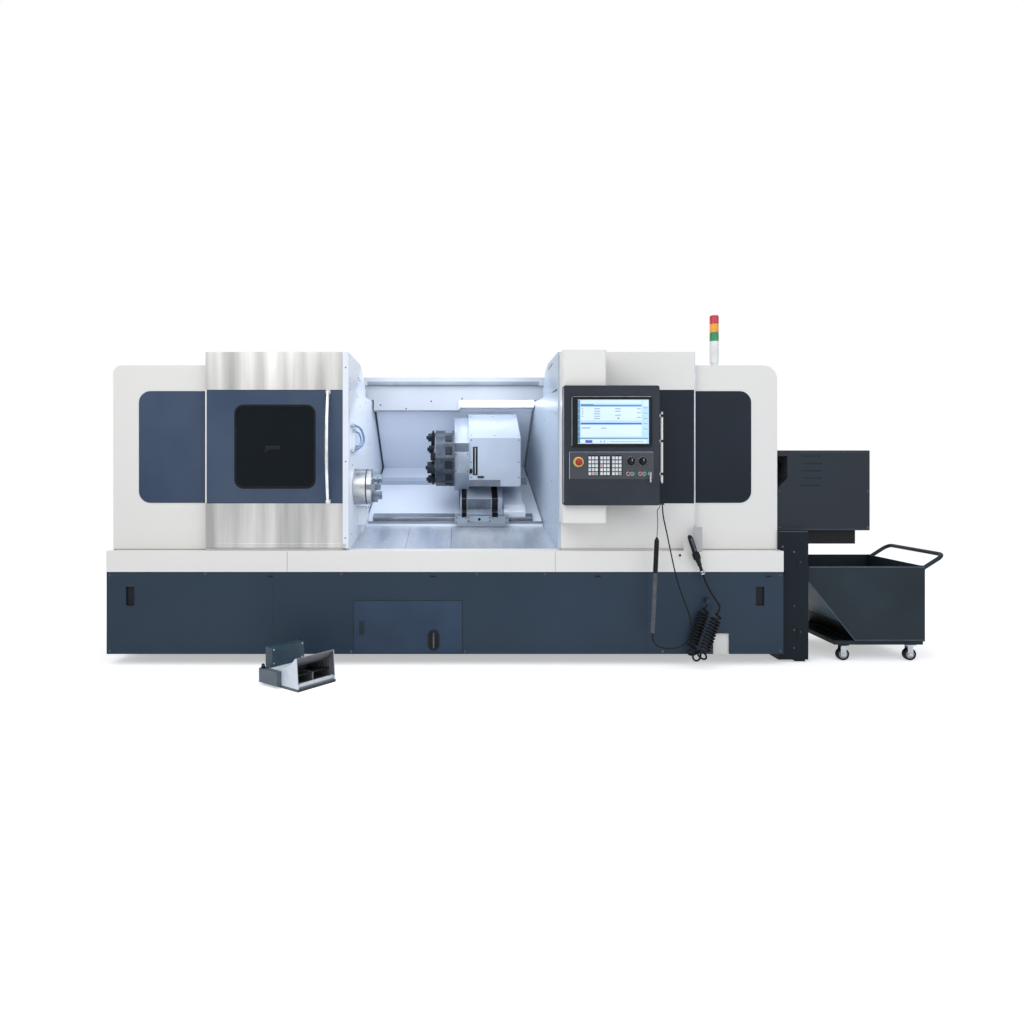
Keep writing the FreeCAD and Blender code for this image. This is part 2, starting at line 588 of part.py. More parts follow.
def make_right_door():
    left, right = "right_door_left", "right_door_right"
    leaf = prism("right_leaf", "YZ_Plane", door_profile(), (left, right))
    gusset = prism("right_gusset", "YZ_Plane", gusset_profile(), (left, f"{left} + right_door_edge"))
    slit = prism("gusset_slit", "YZ_Plane", [(222, 1822), (460, 1815), (470, 1806), (222, 1810)],
                 (f"{left} - 1", f"{left} + 6"))
    stripe = block("right_stripe", (f"{left} + right_door_edge", f"{right} - 8"),
                   ("door_front - door_stripe_lift", "door_front"),
                   ("door_stripe_low", "door_stripe_high"))
    node("right_door", cut("right_door", join("right_door_skin", leaf, gusset, stripe), slit))

    back = "door_front - door_stripe_lift"
    shape = rectangle("column_left", "column_right", "panel_back", back)
    column = prism("column", "XY_Plane", shape, ("column_low", "column_high"),
                   [([("column_left", "panel_back"), ("column_right", "panel_back")], 18)])
    node("panel_column", column)

    area = rectangle("panel_left", "panel_right", "panel_low", "panel_high")
    face = prism("panel_case", "XZ_Plane", area, ("panel_front", "panel_back"), [(area, "panel_round")])
    housing = block("panel_housing", ("column_right + 12", "panel_right - 20"),
                    ("panel_back - 1", "door_front - 12"), ("panel_low + 30", "panel_high - 30"))
    bracket = block("hook_bracket", ("panel_right - 4", "panel_right + 34"), (-214, -186),
                    ("panel_low + 2", "panel_low + 10"))
    tools = [rod(name, "y", (x, "panel_front - 1", z), radius, "stem_long + 1")
             for name, x, z, radius in control_holes()]
    node("control_box", cut("control_box", join("panel_shell", face, housing, bracket), *tools))

    front = "panel_front - screen_lift"
    bezel = rectangle("screen_left", "screen_right", "screen_low", "screen_high")
    inside = rectangle("screen_left + screen_frame", "screen_right - screen_frame / 2",
                       "screen_low + screen_frame / 2", "screen_high - screen_frame / 2")
    frame = prism("bezel", "XZ_Plane", bezel, (front, "panel_front"), [(bezel, 6)])
    glass = prism("screen_glass", "XZ_Plane", inside, (f"{front} - 1", f"{front} + 3"))
    node("screen", cut("screen", frame, glass))

    face = "panel_front - keys_lift"
    plate = block("key_plate", ("keys_left", "keys_right"), (face, "panel_front"), ("keys_low", "keys_high"))
    ring = rod("stop_ring", "y", ("stop_across", f"{face} - 5", "stop_high"), "stop_radius + 9", 6)
    parts = [plate, ring]
    for group in range(3):
        for column in range(3):
            for row in range(5):
                x = f"key_first + {group} * key_group + {column} * key_pitch"
                z = f"key_bottom + {row} * key_rise"
                parts.append(block("key", (x, f"{x} + key_wide"), (f"{face} - key_lift", face),
                                   (z, f"{z} + key_tall")))
    tools = [rod(name, "y", (x, f"{face} - 20", z), radius, 40) for name, x, z, radius in control_holes()]
    node("key_plate", cut("key_plate", join("key_board", *parts), *tools))


def control_holes():
    """Name, place and radius of the hole of each moving control."""
    holes = [("stop_hole", "stop_across", "stop_high", "stop_radius / 2 + button_play")]
    for index in range(4):
        shift = "22" if index > 1 else "0"
        holes.append((f"button_hole_{index + 1}", f"button_first + {index} * button_pitch + {shift}",
                      "button_high", "button_radius + button_play"))
    for index in range(2):
        holes.append((f"knob_hole_{index + 1}", f"knob_first + {index} * knob_pitch", "knob_high",
                      "5 + run_play"))
    holes.append(("switch_hole", "panel_right - switch_inset", "button_high", "8 + run_play"))
    return holes


def make_controls():
    face = "panel_front - keys_lift"
    depth = "stem_long - 6"
    holes = {name: (x, z) for name, x, z, radius in control_holes()}
    x, z = holes["stop_hole"]
    stem = rod("stop_stem", "y", (x, f"{face} - 16", z), "stop_radius / 2", "16 + keys_lift + 10")
    dome = turned("stop_dome", [(0, 0), ("stop_radius", 0), ("stop_radius", 9), ("stop_radius * 0.8", 15),
                                ("stop_radius * 0.4", 18), (0, 18)])
    seat(dome, Placement(Vector(value_of(x), value_of(f"{face} - 15"), value_of(z)),
                         Rotation(Vector(1, 0, 0), 90)))
    node("emergency_stop", join("emergency_stop", stem, dome))
    for index in range(1, 5):
        x, z = holes[f"button_hole_{index}"]
        body = rod(f"button_body_{index}", "y", (x, f"{face} - 6", z), "button_radius", f"6 + {depth}")
        node(f"push_button_{index}", body)
    for index in (1, 2):
        x, z = holes[f"knob_hole_{index}"]
        shaft = rod("knob_shaft", "y", (x, f"{face} - 2", z), 5, f"2 + {depth}")
        skirt = rod("knob_skirt", "y", (x, f"{face} - 6.3", z), "knob_radius", 6)
        grip = rod("knob_grip", "y", (x, f"{face} - knob_long - 0.3", z), "knob_radius * 0.78",
                   "knob_long - 5")
        mark = block("knob_mark", (f"{x} - 1.5", f"{x} + 1.5"),
                     (f"{face} - knob_long - 1.3", f"{face} - knob_long"),
                     (z, f"{z} + knob_radius * 0.7"))
        node(f"override_knob_{index}", join(f"override_knob_{index}", shaft, skirt, grip, mark))
    x, z = holes["switch_hole"]
    barrel = rod("switch_barrel", "y", (x, f"{face} - 2", z), 8, f"2 + {depth}")
    collar = rod("switch_collar", "y", (x, f"{face} - 5.3", z), 11, 5)
    bow = block("key_bow", (f"{x} - 1.5", f"{x} + 1.5"), (f"{face} - 26", f"{face} - 5"),
                (f"{z} - 10", f"{z} + 10"))
    tag = block("key_tag", (f"{x} - 4", f"{x} + 4"), (f"{face} - 24", f"{face} - 22"),
                (f"{z} - 48", f"{z} - 8"))
    node("key_switch", join("key_switch", barrel, collar, bow, tag))

    bar = rod("grip_bar", "z", ("panel_right + bar_reach", -215, "bar_low"), "bar_thick",
              "bar_high - bar_low")
    arms = [block("bar_arm", ("panel_right", "panel_right + bar_reach"), (-222, -208), (z, z + 14))
            for z in (1120, 1307, 1452)]
    node("grab_bar", join("grab_bar", bar, *arms))


# ---------------------------------------------------------------- spindle line

def make_spindle():
    u, v = "spindle_along", "swing"
    outline = [on_way(f"{u} - 130", "-bed_drop"), on_way(f"{u} + 180", "-bed_drop"),
               on_way(f"{u} + 180", f"{v} + 100"), on_way(f"{u} + 120", f"{v} + 150"),
               on_way(f"{u} - 100", f"{v} + 150"), on_way(f"{u} - 130", f"{v} + 100"),
               on_way(f"{u} - 130", f"{v} - 150")]
    casting = prism("head_block", "YZ_Plane", outline, ("head_left", "head_right"))
    bore = rod("head_bore", "x", ("head_left - 1", SPINDLE_Y, SPINDLE_Z), "shaft_radius + run_play",
               "head_right - head_left + 2")
    node("headstock", cut("headstock", casting, bore))

    shaft = rod("shaft", "x", ("shaft_end", SPINDLE_Y, SPINDLE_Z), "shaft_radius", "chuck_back - shaft_end")
    nose = rod("nose", "x", ("head_right + 2", SPINDLE_Y, SPINDLE_Z), "nose_radius",
               "chuck_back - head_right - 2")
    drum = rod("drum", "x", ("shaft_end", SPINDLE_Y, SPINDLE_Z), "drum_radius", "head_left - shaft_end - 2")
    way = rod("bar_way", "x", ("shaft_end - 1", SPINDLE_Y, SPINDLE_Z), "bar_radius",
              "chuck_back - shaft_end + 2")
    node("spindle", cut("spindle", join("spindle_solid", shaft, nose, drum), way))

    body = rod("chuck_body", "x", ("chuck_back", SPINDLE_Y, SPINDLE_Z), "chuck_radius",
               "chuck_face - chuck_back")
    bore = rod("chuck_bore", "x", ("chuck_back - 1", SPINDLE_Y, SPINDLE_Z), "bar_radius",
               "chuck_face - chuck_back + 2")
    centre = Vector(0, value_of(SPINDLE_Y), value_of(SPINDLE_Z))
    face, wide, deep = value_of("chuck_face"), value_of("jaw_wide"), value_of("jaw_deep")
    inner, outer, step = value_of("jaw_inner"), value_of("jaw_outer"), value_of("jaw_step")
    play = value_of("slide_play")
    rim = value_of("chuck_radius") + 2
    slots = []
    for index in range(3):
        frame = Placement(centre, Rotation(Vector(1, 0, 0), 90 + 120 * index))
        slots.append(box_in(f"jaw_slot_{index + 1}", frame, (face - deep, face + 1),
                            (-wide / 2, wide / 2), (37.5, rim)))
        key = box_in("jaw_key", frame, (face - deep + play, face + 1),
                     (-wide / 2 + play, wide / 2 - play), (inner, outer))
        low = box_in("jaw_low", frame, (face + play, face + step), (-wide / 2 - 3, wide / 2 + 3),
                     (inner, outer))
        high = box_in("jaw_high", frame, (face + step - 1, face + 2 * step), (-wide / 2 - 3, wide / 2 + 3),
                      (inner, (inner + outer) / 2 + 8))
        node(f"chuck_jaw_{index + 1}", join(f"chuck_jaw_{index + 1}", key, low, high))
    node("chuck", cut("chuck", body, bore, *slots))


def make_carriage():
    x = ("saddle_left", "saddle_right")
    slab = way_block("saddle_slab", x, (0, "saddle_run"), ("sheet_gap", "saddle_thick"))
    lip = block("saddle_lip", ("saddle_left - 28", "saddle_right + 32"), (470, 502), (790, 842))
    wipers = [way_block("wiper", ends, (0, 46), ("sheet_gap", "saddle_thick - 20"))
              for ends in (("saddle_left - 28", "saddle_left + 1"),
                           ("saddle_right - 1", "saddle_right + 32"))]
    tools = [way_block("way_channel", ("saddle_left - 40", "saddle_right + 40"),
                       (f"{low} - slide_play", f"{low} + way_wide + slide_play"),
                       (0, "way_lift + slide_play")) for low in WAYS]
    tools += [way_block("top_groove", ends, (-90, "saddle_run + 1"),
                        ("saddle_thick - groove_deep", "saddle_thick + 60"))
              for ends in ((12, 45), (213, 253))]
    tools.append(rod("lip_hole", "y", (128, 469, 826), 9, 20))
    node("saddle", cut("saddle", join("saddle_solid", slab, lip, *wipers), *tools))

    seat_low = "saddle_thick + slide_play"
    foot = way_block("slide_foot", ("saddle_left + 8", "saddle_right - 6"), (60, 520), (seat_low, 162))
    cover = prism("slide_cover", "YZ_Plane",
                  [("slide_front", "slide_low"), ("slide_front", "slide_high"), (845, "slide_high + 182"),
                   (1000, 1400), (1000, 1130), (690, "slide_low")], ("slide_middle", "slide_right"),
                  [([("slide_front", "slide_high")], 8)])
    column = prism("slide_column", "YZ_Plane",
                   [(430, 1129), (430, 1326), (845, 1520), (960, 1400), (960, 1115), (620, 1010)],
                   ("slide_left", "slide_middle + 1"))
    port = block("cover_slot", (85, 117), ("slide_front - 1", "slide_front + 14"), (1113, 1303))
    node("cross_slide", cut("cross_slide", join("slide_solid", foot, cover, column), port))

    drum = doc.addObject("Part::Prism", "turret_drum")
    drum.Polygon = 12
    drum.setExpression("Circumradius", formula("turret_radius"))
    drum.setExpression("Height", formula("turret_right - turret_left"))
    drum.Placement = Placement(Vector(), ALONG["x"])
    put(drum, "turret_left", TURRET_Y, TURRET_Z)
    hub = rod("turret_hub", "x", ("turret_left - 10", TURRET_Y, TURRET_Z), 62, 30)
    centre = Vector(0, value_of(TURRET_Y), value_of(TURRET_Z))
    left, ring = value_of("turret_left"), value_of("bore_circle")
    bore, deep = value_of("bore_radius"), value_of("bore_deep")
    start = 90 + value_of("slant")
    frames = [Placement(centre, Rotation(Vector(1, 0, 0), start + 30 * index)) for index in range(12)]
    bores = [rod_in("tool_bore", frame, (left - 1, 0, ring), "x", bore, deep + 1) for frame in frames]
    node("turret", cut("turret", join("turret_solid", drum, hub), *bores))

    play = value_of("slide_play")
    sleeve, reach = value_of("sleeve_radius"), value_of("sleeve_reach")
    tools = []
    for index, frame in enumerate(frames):
        if index in (3, 7, 10):
            continue
        if index % 2 == 0:
            tools.append(rod_in("sleeve", frame, (left - reach, 0, ring), "x",
                                sleeve * (1 if index == 0 else 0.7), reach))
            tools.append(rod_in("shank", frame, (left - reach, 0, ring), "x", bore - play, reach + deep - 5))
            tools.append(rod_in("cutter", frame, (left - reach - 12, 0, ring), "x", 13, 13))
        else:
            tools.append(box_in("holder", frame, (left - 30, left), (-24, 24), (ring - 34, ring + 36)))
            tools.append(rod_in("shank", frame, (left - 5, 0, ring), "x", bore - play, deep - 5))
            tools.append(box_in("bit", frame, (left - 22, left - 8), (-10, 4), (ring + 30, ring + 62)))
    node("turret_tools", join("turret_tools", *tools))


# ---------------------------------------------------------------- conveyor and cart

def make_conveyor():
    wall = "plate_thick"
    trough = block("trough_outer", ("trough_left", "base_right + 1"), ("riser_front", "riser_back"),
                   ("trough_low", "trough_high"))
    gutter = block("trough_inner", (f"trough_left + {wall}", "base_right - 40"),
                   (f"riser_front + {wall}", f"riser_back - {wall}"),
                   (f"trough_low + {wall}", "trough_high + 1"))
    riser = block("riser", ("base_right", "riser_right"), ("riser_front", "riser_back"),
                  ("riser_low", "riser_top"))
    pads = [block("riser_pad", ("riser_right - 70", "riser_right - 10"), (y, y + 60), (0, "riser_low"))
            for y in (5, 355)]
    plates = [block("riser_plate", ("riser_right - 66", "riser_right - 26"),
                    ("riser_front - 2", "riser_front"),
                    (z, z + 60)) for z in (140, 560)]
    node("conveyor_body", join("conveyor_body", cut("trough", trough, gutter), riser, *pads, *plates))

    outline = [("head_left_side", "riser_top"), ("head_right_side", "riser_top"),
               ("head_right_side", "head_top"), ("head_left_side", "head_top"), ("head_left_side", 1233),
               ("head_notch", 1233), ("head_notch", 1100), ("head_left_side", 1037)]
    case = prism("head_case", "XZ_Plane", outline, ("head_front", "head_back"),
                 [([("head_right_side", "head_top"), ("head_right_side", "riser_top")], 6)])
    motor = rod("gear_motor", "y", ("head_notch - 26", "head_front + 110", 1166), 30, 220)
    lug = block("motor_lug", ("head_notch - 26", "head_notch + 1"), ("head_front + 200", "head_front + 260"),
                (1136, 1196))
    chute = block("chute_outer", ("chute_left", "chute_right"), ("head_front + 40", "head_back - 40"),
                  ("chute_low", "riser_top + 1"))
    mouth = block("chute_mouth", (f"chute_left + {wall}", f"chute_right - {wall}"),
                  (f"head_front + 40 + {wall}", f"head_back - 40 - {wall}"),
                  ("chute_low - 1", "riser_top + 60"))
    vents = [block("louvre", (2050 + 12 * (row % 2), 2170 + 12 * (row % 2)),
                   ("head_front - 1", "head_front + 4"),
                   (1052 + 44 * row, 1060 + 44 * row)) for row in range(5)]
    node("conveyor_head", cut("conveyor_head", join("head_solid", case, motor, lug, chute), mouth, *vents))


def caster_fork(x, y, top):
    """The two cheeks, the crown plate and the axle of one caster."""
    axle = "wheel_lift + wheel_radius"
    half = "(wheel_wide / 2 + 1)"
    cheeks = [block("cheek", (f"{x} - 16", f"{x} + 16"), pair, (f"{axle} - 12", f"{top} - 3"))
              for pair in ((f"{y} - {half} - 3", f"{y} - {half}"), (f"{y} + {half}", f"{y} + {half} + 3"))]
    crown = block("crown", (f"{x} - 30", f"{x} + 30"), (f"{y} - 26", f"{y} + 26"), (f"{top} - 4", top))
    pin = rod("axle", "y", (x, f"{y} - {half} - 5", axle), "axle_radius", f"2 * {half} + 10")
    return [*cheeks, crown, pin]


def make_cart():
    wall = "plate_thick"
    outline = [("cart_left", "cart_rim"), ("cart_right", "cart_rim"), ("cart_right", "frame_high"),
               ("cart_toe", "frame_high"), ("cart_left", "cart_step")]
    inside = [(f"cart_left + {wall}", "cart_rim + 1"), (f"cart_right - {wall}", "cart_rim + 1"),
              (f"cart_right - {wall}", f"frame_high + {wall}"), (f"cart_toe + 2", f"frame_high + {wall}"),
              (f"cart_left + {wall}", "cart_step + 2")]
    tub = prism("tub_outer", "XZ_Plane", outline, ("cart_front", "cart_back"))
    room = prism("tub_inner", "XZ_Plane", inside, (f"cart_front + {wall}", f"cart_back - {wall}"))
    sides = [("cart_front + 20", "cart_front + 20 + beam_wide"),
             ("cart_back - 20 - beam_wide", "cart_back - 20")]
    beams = [block("beam_long", ("caster_first - frame_lead", "cart_right"), side,
                   ("frame_low", "frame_high")) for side in sides]
    beams += [block("beam_cross", (x, f"{x} + beam_wide"), (sides[0][0], sides[1][1]),
                    ("frame_low", "frame_high"))
              for x in ("caster_first - frame_lead", "cart_right - beam_wide")]
    grip = value_of("handle_right - handle_radius")
    start, low, high = value_of("cart_right - 2"), value_of("handle_low"), value_of("handle_high")
    near, far = value_of("cart_front + 20"), value_of("cart_back - 20")
    bar = tube([Vector(start, near, low), Vector(grip, near, high), Vector(grip, far, high),
                Vector(start, far, low)], value_of("handle_radius"), bend=45)
    handle = shaped("cart_handle", bar)
    rows = [f"({low}) + beam_wide / 2" for low, high in sides]
    forks = []
    for y in rows:
        forks += caster_fork("caster_first", y, "frame_low")
    sockets = [rod("socket", "z", ("caster_last", y, "frame_low - 1"), "stem_radius + run_play", 19)
               for y in rows]
    node("cart_body", cut("cart_body", join("cart_solid", cut("tub", tub, room), *beams, handle, *forks),
                          *sockets))
    for index, y in enumerate(rows, 1):
        parts = caster_fork("caster_last - caster_trail", y, "frame_low - 0.3")
        stem = rod("caster_stem", "z", ("caster_last", y, "frame_low - 4"), "stem_radius", 20)
        node(f"swivel_fork_{index}", join(f"swivel_fork_{index}", *parts, stem))
    spots = [("caster_first", rows[0]), ("caster_first", rows[1]),
             ("caster_last - caster_trail", rows[0]), ("caster_last - caster_trail", rows[1])]
    for index, (x, y) in enumerate(spots, 1):
        middle = "wheel_lift + wheel_radius"
        tyre = rod("tyre", "y", (x, f"{y} - wheel_wide / 2", middle), "wheel_radius", "wheel_wide")
        hole = rod("wheel_bore", "y", (x, f"{y} - wheel_wide / 2 - 1", middle), "axle_radius + run_play",
                   "wheel_wide + 2")
        node(f"cart_wheel_{index}", cut(f"cart_wheel_{index}", tyre, hole))


# ---------------------------------------------------------------- tubes and curls

def arc_by_tangent(start, tangent, end):
    """The arc that leaves start along the tangent and ends at end, or a line."""
    chord = end - start
    side = chord - tangent * chord.dot(tangent)
    if side.Length < 1e-6 * chord.Length:
        return Part.LineSegment(start, end).toShape()
    side.normalize()
    radius = chord.dot(chord) / (2 * chord.dot(side))
    centre = start + side * radius
    middle = (start - centre) + (end - centre)
    middle.normalize()
    return Part.Arc(start, centre + middle * radius, end).toShape()


def rounded_path(points, bend=None):
    """Straight runs joined by tangent arcs; prints each arc's radius where bend is None."""
    edges = []
    radii = []
    begin = points[0]
    for index in range(1, len(points) - 1):
        before, here, after = points[index - 1:index + 2]
        into = (here - before).normalize()
        out = (after - here).normalize()
        half = into.getAngle(out) / 2
        shorter = min((here - before).Length, (after - here).Length)
        radius = bend or 0.45 * shorter / math.tan(half)
        reach = radius * math.tan(half)
        radii.append(radius)
        start = here - into * reach
        end = here + out * reach
        edges.append(Part.LineSegment(begin, start).toShape())
        edges.append(arc_by_tangent(start, into, end))
        begin = end
    edges.append(Part.LineSegment(begin, points[-1]).toShape())
    return edges, radii


def sweep(edges, radius):
    path = Part.Wire(edges)
    first = edges[0]
    start = first.valueAt(first.FirstParameter)
    ring = Part.Wire(Part.Circle(start, first.tangentAt(first.FirstParameter), radius).toShape())
    return path.makePipeShell([ring], True, False)


def tube(points, radius, bend=None, label=""):
    edges, radii = rounded_path(points, bend)
    solid = sweep(edges, radius)
    length = sum(edge.Length for edge in edges)
    if label:
        print(f"{label}: radii {[round(r) for r in radii]}, length {length:.0f},"
              f" volume ratio {solid.Volume / (math.pi * radius ** 2 * length):.4f}")
    return solid


LAMP_ROUTE = [(1160, 949.8), (1162, 893), (1183, 803), (1202, 708), (1222, 612), (1244, 518),
              (1274, 428), (1307, 345), (1326, 272), (1324, 206), (1297, 154), (1250, 129),
              (1196, 124), (1150, 131), (1116, 149)]
LAMP_TOP = Vector(1129, -200, 763)
LAMP_FOOT = Vector(1104, -200, 211)


def make_lamp():
    axis = (LAMP_FOOT - LAMP_TOP).normalize()
    radius = value_of("lamp_radius")
    length = (LAMP_FOOT - LAMP_TOP).Length
    body = Part.makeCylinder(radius, length - 30, LAMP_TOP + axis * 18, axis)
    shoulder = Part.makeCone(5, radius, 18, LAMP_TOP, axis)
    tail = Part.makeCone(radius, 6, 12, LAMP_TOP + axis * (length - 12), axis)
    floor = value_of("panel_low + 2")
    wire = tube([Vector(1146, -200, floor - 0.2), Vector(1145, -200, 936), Vector(1131, -200, 920),
                 Vector(1132, -200, 888), Vector(1134, -200, 840), Vector(1131, -200, 795),
                 LAMP_TOP + axis * 1], 2)
    node("inspection_lamp", shaped("inspection_lamp", body.fuse([shoulder, tail, wire])))

    points = [Vector(x, -200, z) for x, z in LAMP_ROUTE]
    points.append(LAMP_FOOT + axis * 29)
    points.append(LAMP_FOOT)
    node("lamp_cord", shaped("lamp_cord", tube(points, value_of("cord_radius"), label="lamp cord")))


HOSE_DOWN = Vector(-0.33, 0, -0.944).normalize()
HOSE_SIDE = Vector(0.6, -0.774, -0.21).normalize()
HOSE_TOP = Vector(1486, -190, 336)
HOSE_LIMB = 246
HOSE_BEND = 42
LIMB_PITCH = 19
BEND_PITCH = 36
HOSE_FADE = 44


def curl_point(run, turn):
    """The middle of the curled hose after a run along its hanging loop."""
    bend = math.pi * HOSE_BEND
    total = 2 * HOSE_LIMB + bend
    if run < HOSE_LIMB:
        middle = HOSE_TOP + HOSE_DOWN * run
        outward = HOSE_SIDE
    elif run < HOSE_LIMB + bend:
        angle = (run - HOSE_LIMB) / HOSE_BEND
        outward = HOSE_SIDE * math.cos(angle) + HOSE_DOWN * math.sin(angle)
        centre = HOSE_TOP + HOSE_DOWN * HOSE_LIMB - HOSE_SIDE * HOSE_BEND
        middle = centre + outward * HOSE_BEND
    else:
        outward = HOSE_SIDE * -1
        middle = (HOSE_TOP - HOSE_SIDE * 2 * HOSE_BEND
                  + HOSE_DOWN * (HOSE_LIMB - (run - HOSE_LIMB - bend)))
    near_end = max(0.0, min(1.0, min(run, total - run) / HOSE_FADE))
    spread = value_of("curl_radius") * near_end ** 2 * (3 - 2 * near_end)
    across = HOSE_DOWN.cross(HOSE_SIDE)
    return middle + (outward * math.cos(turn) + across * math.sin(turn)) * spread


def hose_end():
    """Where the hose meets its fitting on the skirt."""
    return HOSE_TOP - HOSE_SIDE * 2 * HOSE_BEND - HOSE_DOWN * 14


def curl_runs():
    """Run and turn at each half curl: close on the two limbs, open round the bend."""
    bend = math.pi * HOSE_BEND
    total = 2 * HOSE_LIMB + bend
    stations = [(0.0, 0.0)]
    run = 0.0
    while run < total - BEND_PITCH / 3:
        in_bend = HOSE_LIMB - 15 < run < HOSE_LIMB + bend + 15
        near_end = run < HOSE_FADE or run > total - HOSE_FADE
        run += (BEND_PITCH if in_bend or near_end else LIMB_PITCH) / 2
        stations.append((run, stations[-1][1] + math.pi))
    stations[-1] = (total, stations[-1][1])
    return stations


def make_hose(coupling, lean):
    stations = curl_runs()
    points = [curl_point(run, turn) for run, turn in stations]
    tangents = []
    for index, (run, turn) in enumerate(stations):
        if index in (0, len(stations) - 1):
            tangents.append(HOSE_DOWN if index == 0 else HOSE_DOWN * -1)
            continue
        before = stations[index - 1]
        after = stations[index + 1]
        small = 0.01
        rate = (after[0] - before[0]) / (after[1] - before[1])
        step = curl_point(run + small * rate, turn + small) - curl_point(run - small * rate, turn - small)
        tangents.append(step.normalize())
    edges = []
    for index in range(len(points) - 1):
        start, end = points[index], points[index + 1]
        leave, arrive = tangents[index], tangents[index + 1]
        chord = end - start
        both = leave + arrive
        spread = 2 * (1 - leave.dot(arrive))
        if spread < 1e-9:
            edges.append(Part.LineSegment(start, end).toShape())
            continue
        reach = (math.sqrt(chord.dot(both) ** 2 + spread * chord.dot(chord)) - chord.dot(both)) / spread
        middle = (start + end + (leave - arrive) * reach) * 0.5
        edges.append(arc_by_tangent(start, leave, middle))
        edges.append(arc_by_tangent(end, arrive * -1, middle))
    lead = [coupling, coupling + lean * 46, Vector(1452, -146, 447), Vector(1478, -176, 396),
            HOSE_TOP - HOSE_DOWN * 30, HOSE_TOP]
    lead_edges, radii = rounded_path(lead)
    top = points[-1]
    tail = Part.LineSegment(top, top - HOSE_DOWN * 14).toShape()
    radius = value_of("hose_radius")
    samples = [curl_point(run + (later - run) * part / 12, turn + (next_turn - turn) * part / 12)
               for (run, turn), (later, next_turn) in zip(stations, stations[1:]) for part in range(12)]
    gap = min((samples[i] - samples[j]).Length for i in range(len(samples))
              for j in range(i + 14, len(samples))) - 2 * radius
    lowest = min(point.z for point in samples) - radius
    print(f"hose: {len(stations) / 2:.0f} curls, least gap to itself {gap:.2f}, lowest {lowest:.1f},"
          f" lead radii {[round(r) for r in radii]},"
          f" ends at {tuple(round(c, 1) for c in top - HOSE_DOWN * 14)}")
    solid = sweep(Part.__sortEdges__(lead_edges + edges + [tail]), radius)
    node("gun_hose", shaped("gun_hose", solid))


def make_gun():
    lean = value_of("gun_lean")
    frame = Placement(Vector(value_of("gun_across"), value_of("gun_back"), value_of("gun_high")),
                      Rotation(Vector(0, 1, 0), -lean))
    grip = turned("gun_turned", [(0, 0), (5, 0), (6.5, -16), (13, -24), ("gun_radius", -60),
                                 ("gun_radius", -172), (11, -190), (11, -204), (9, -206), (9, -232),
                                 (12, -234), (12, -259), (0, -259)])
    seat(grip, frame)
    ears = [box_in("gun_ear", frame, (x, x + 3), (-25, -10), (-46, -32)) for x in (-9, 6)]
    pin = rod_in("gun_pin", frame, (-9, -21, -39), "x", 2.5, 18)
    node("spray_gun", join("spray_gun", grip, *ears, pin))
    lever = box_in("lever", frame, (-5.7, 5.7), (-24, -20.5), (-112, -33))
    boss = rod_in("lever_boss", frame, (-5.7, -21, -39), "x", 5, 11.4)
    hole = rod_in("lever_hole", frame, (-7, -21, -39), "x", 2.55, 14)
    node("gun_trigger", cut("gun_trigger", join("lever_solid", lever, boss), hole))

    axis = frame.Rotation.multVec(Vector(0, 0, -1))
    centre = frame.Base + axis * 142
    ring = rod_in("ring_outer", frame, (0, 0, -162), "z", value_of("gun_radius + rail_gap + ring_wall"), 36)
    hole = rod_in("ring_inner", frame, (0, 0, -180), "z", value_of("gun_radius + rail_gap"), 80)
    plate = prism("holder_plate", "XZ_Plane",
                  [(1274, 672), (1274, 640), (1330, 590), (1400, 562), (1425, 600), (1392, 690),
                   (1375, 722), (1315, 722), (1315, 672)], ("base_front - 4", "base_front"))
    arm = block("holder_arm", (centre.x - 11, centre.x + 11), ("gun_back + gun_radius + 2", "base_front - 3"),
                (centre.z - 10, centre.z + 10))
    screw = rod("holder_screw", "y", (1292, "base_front - 7", 648), 6, 4)
    loop = cut("holder_loop", join("loop_arm", ring, arm), hole)
    node("gun_holder", join("gun_holder", loop, plate, screw))
    make_hose(frame.Base + axis * 259, axis)


# ---------------------------------------------------------------- foot switch

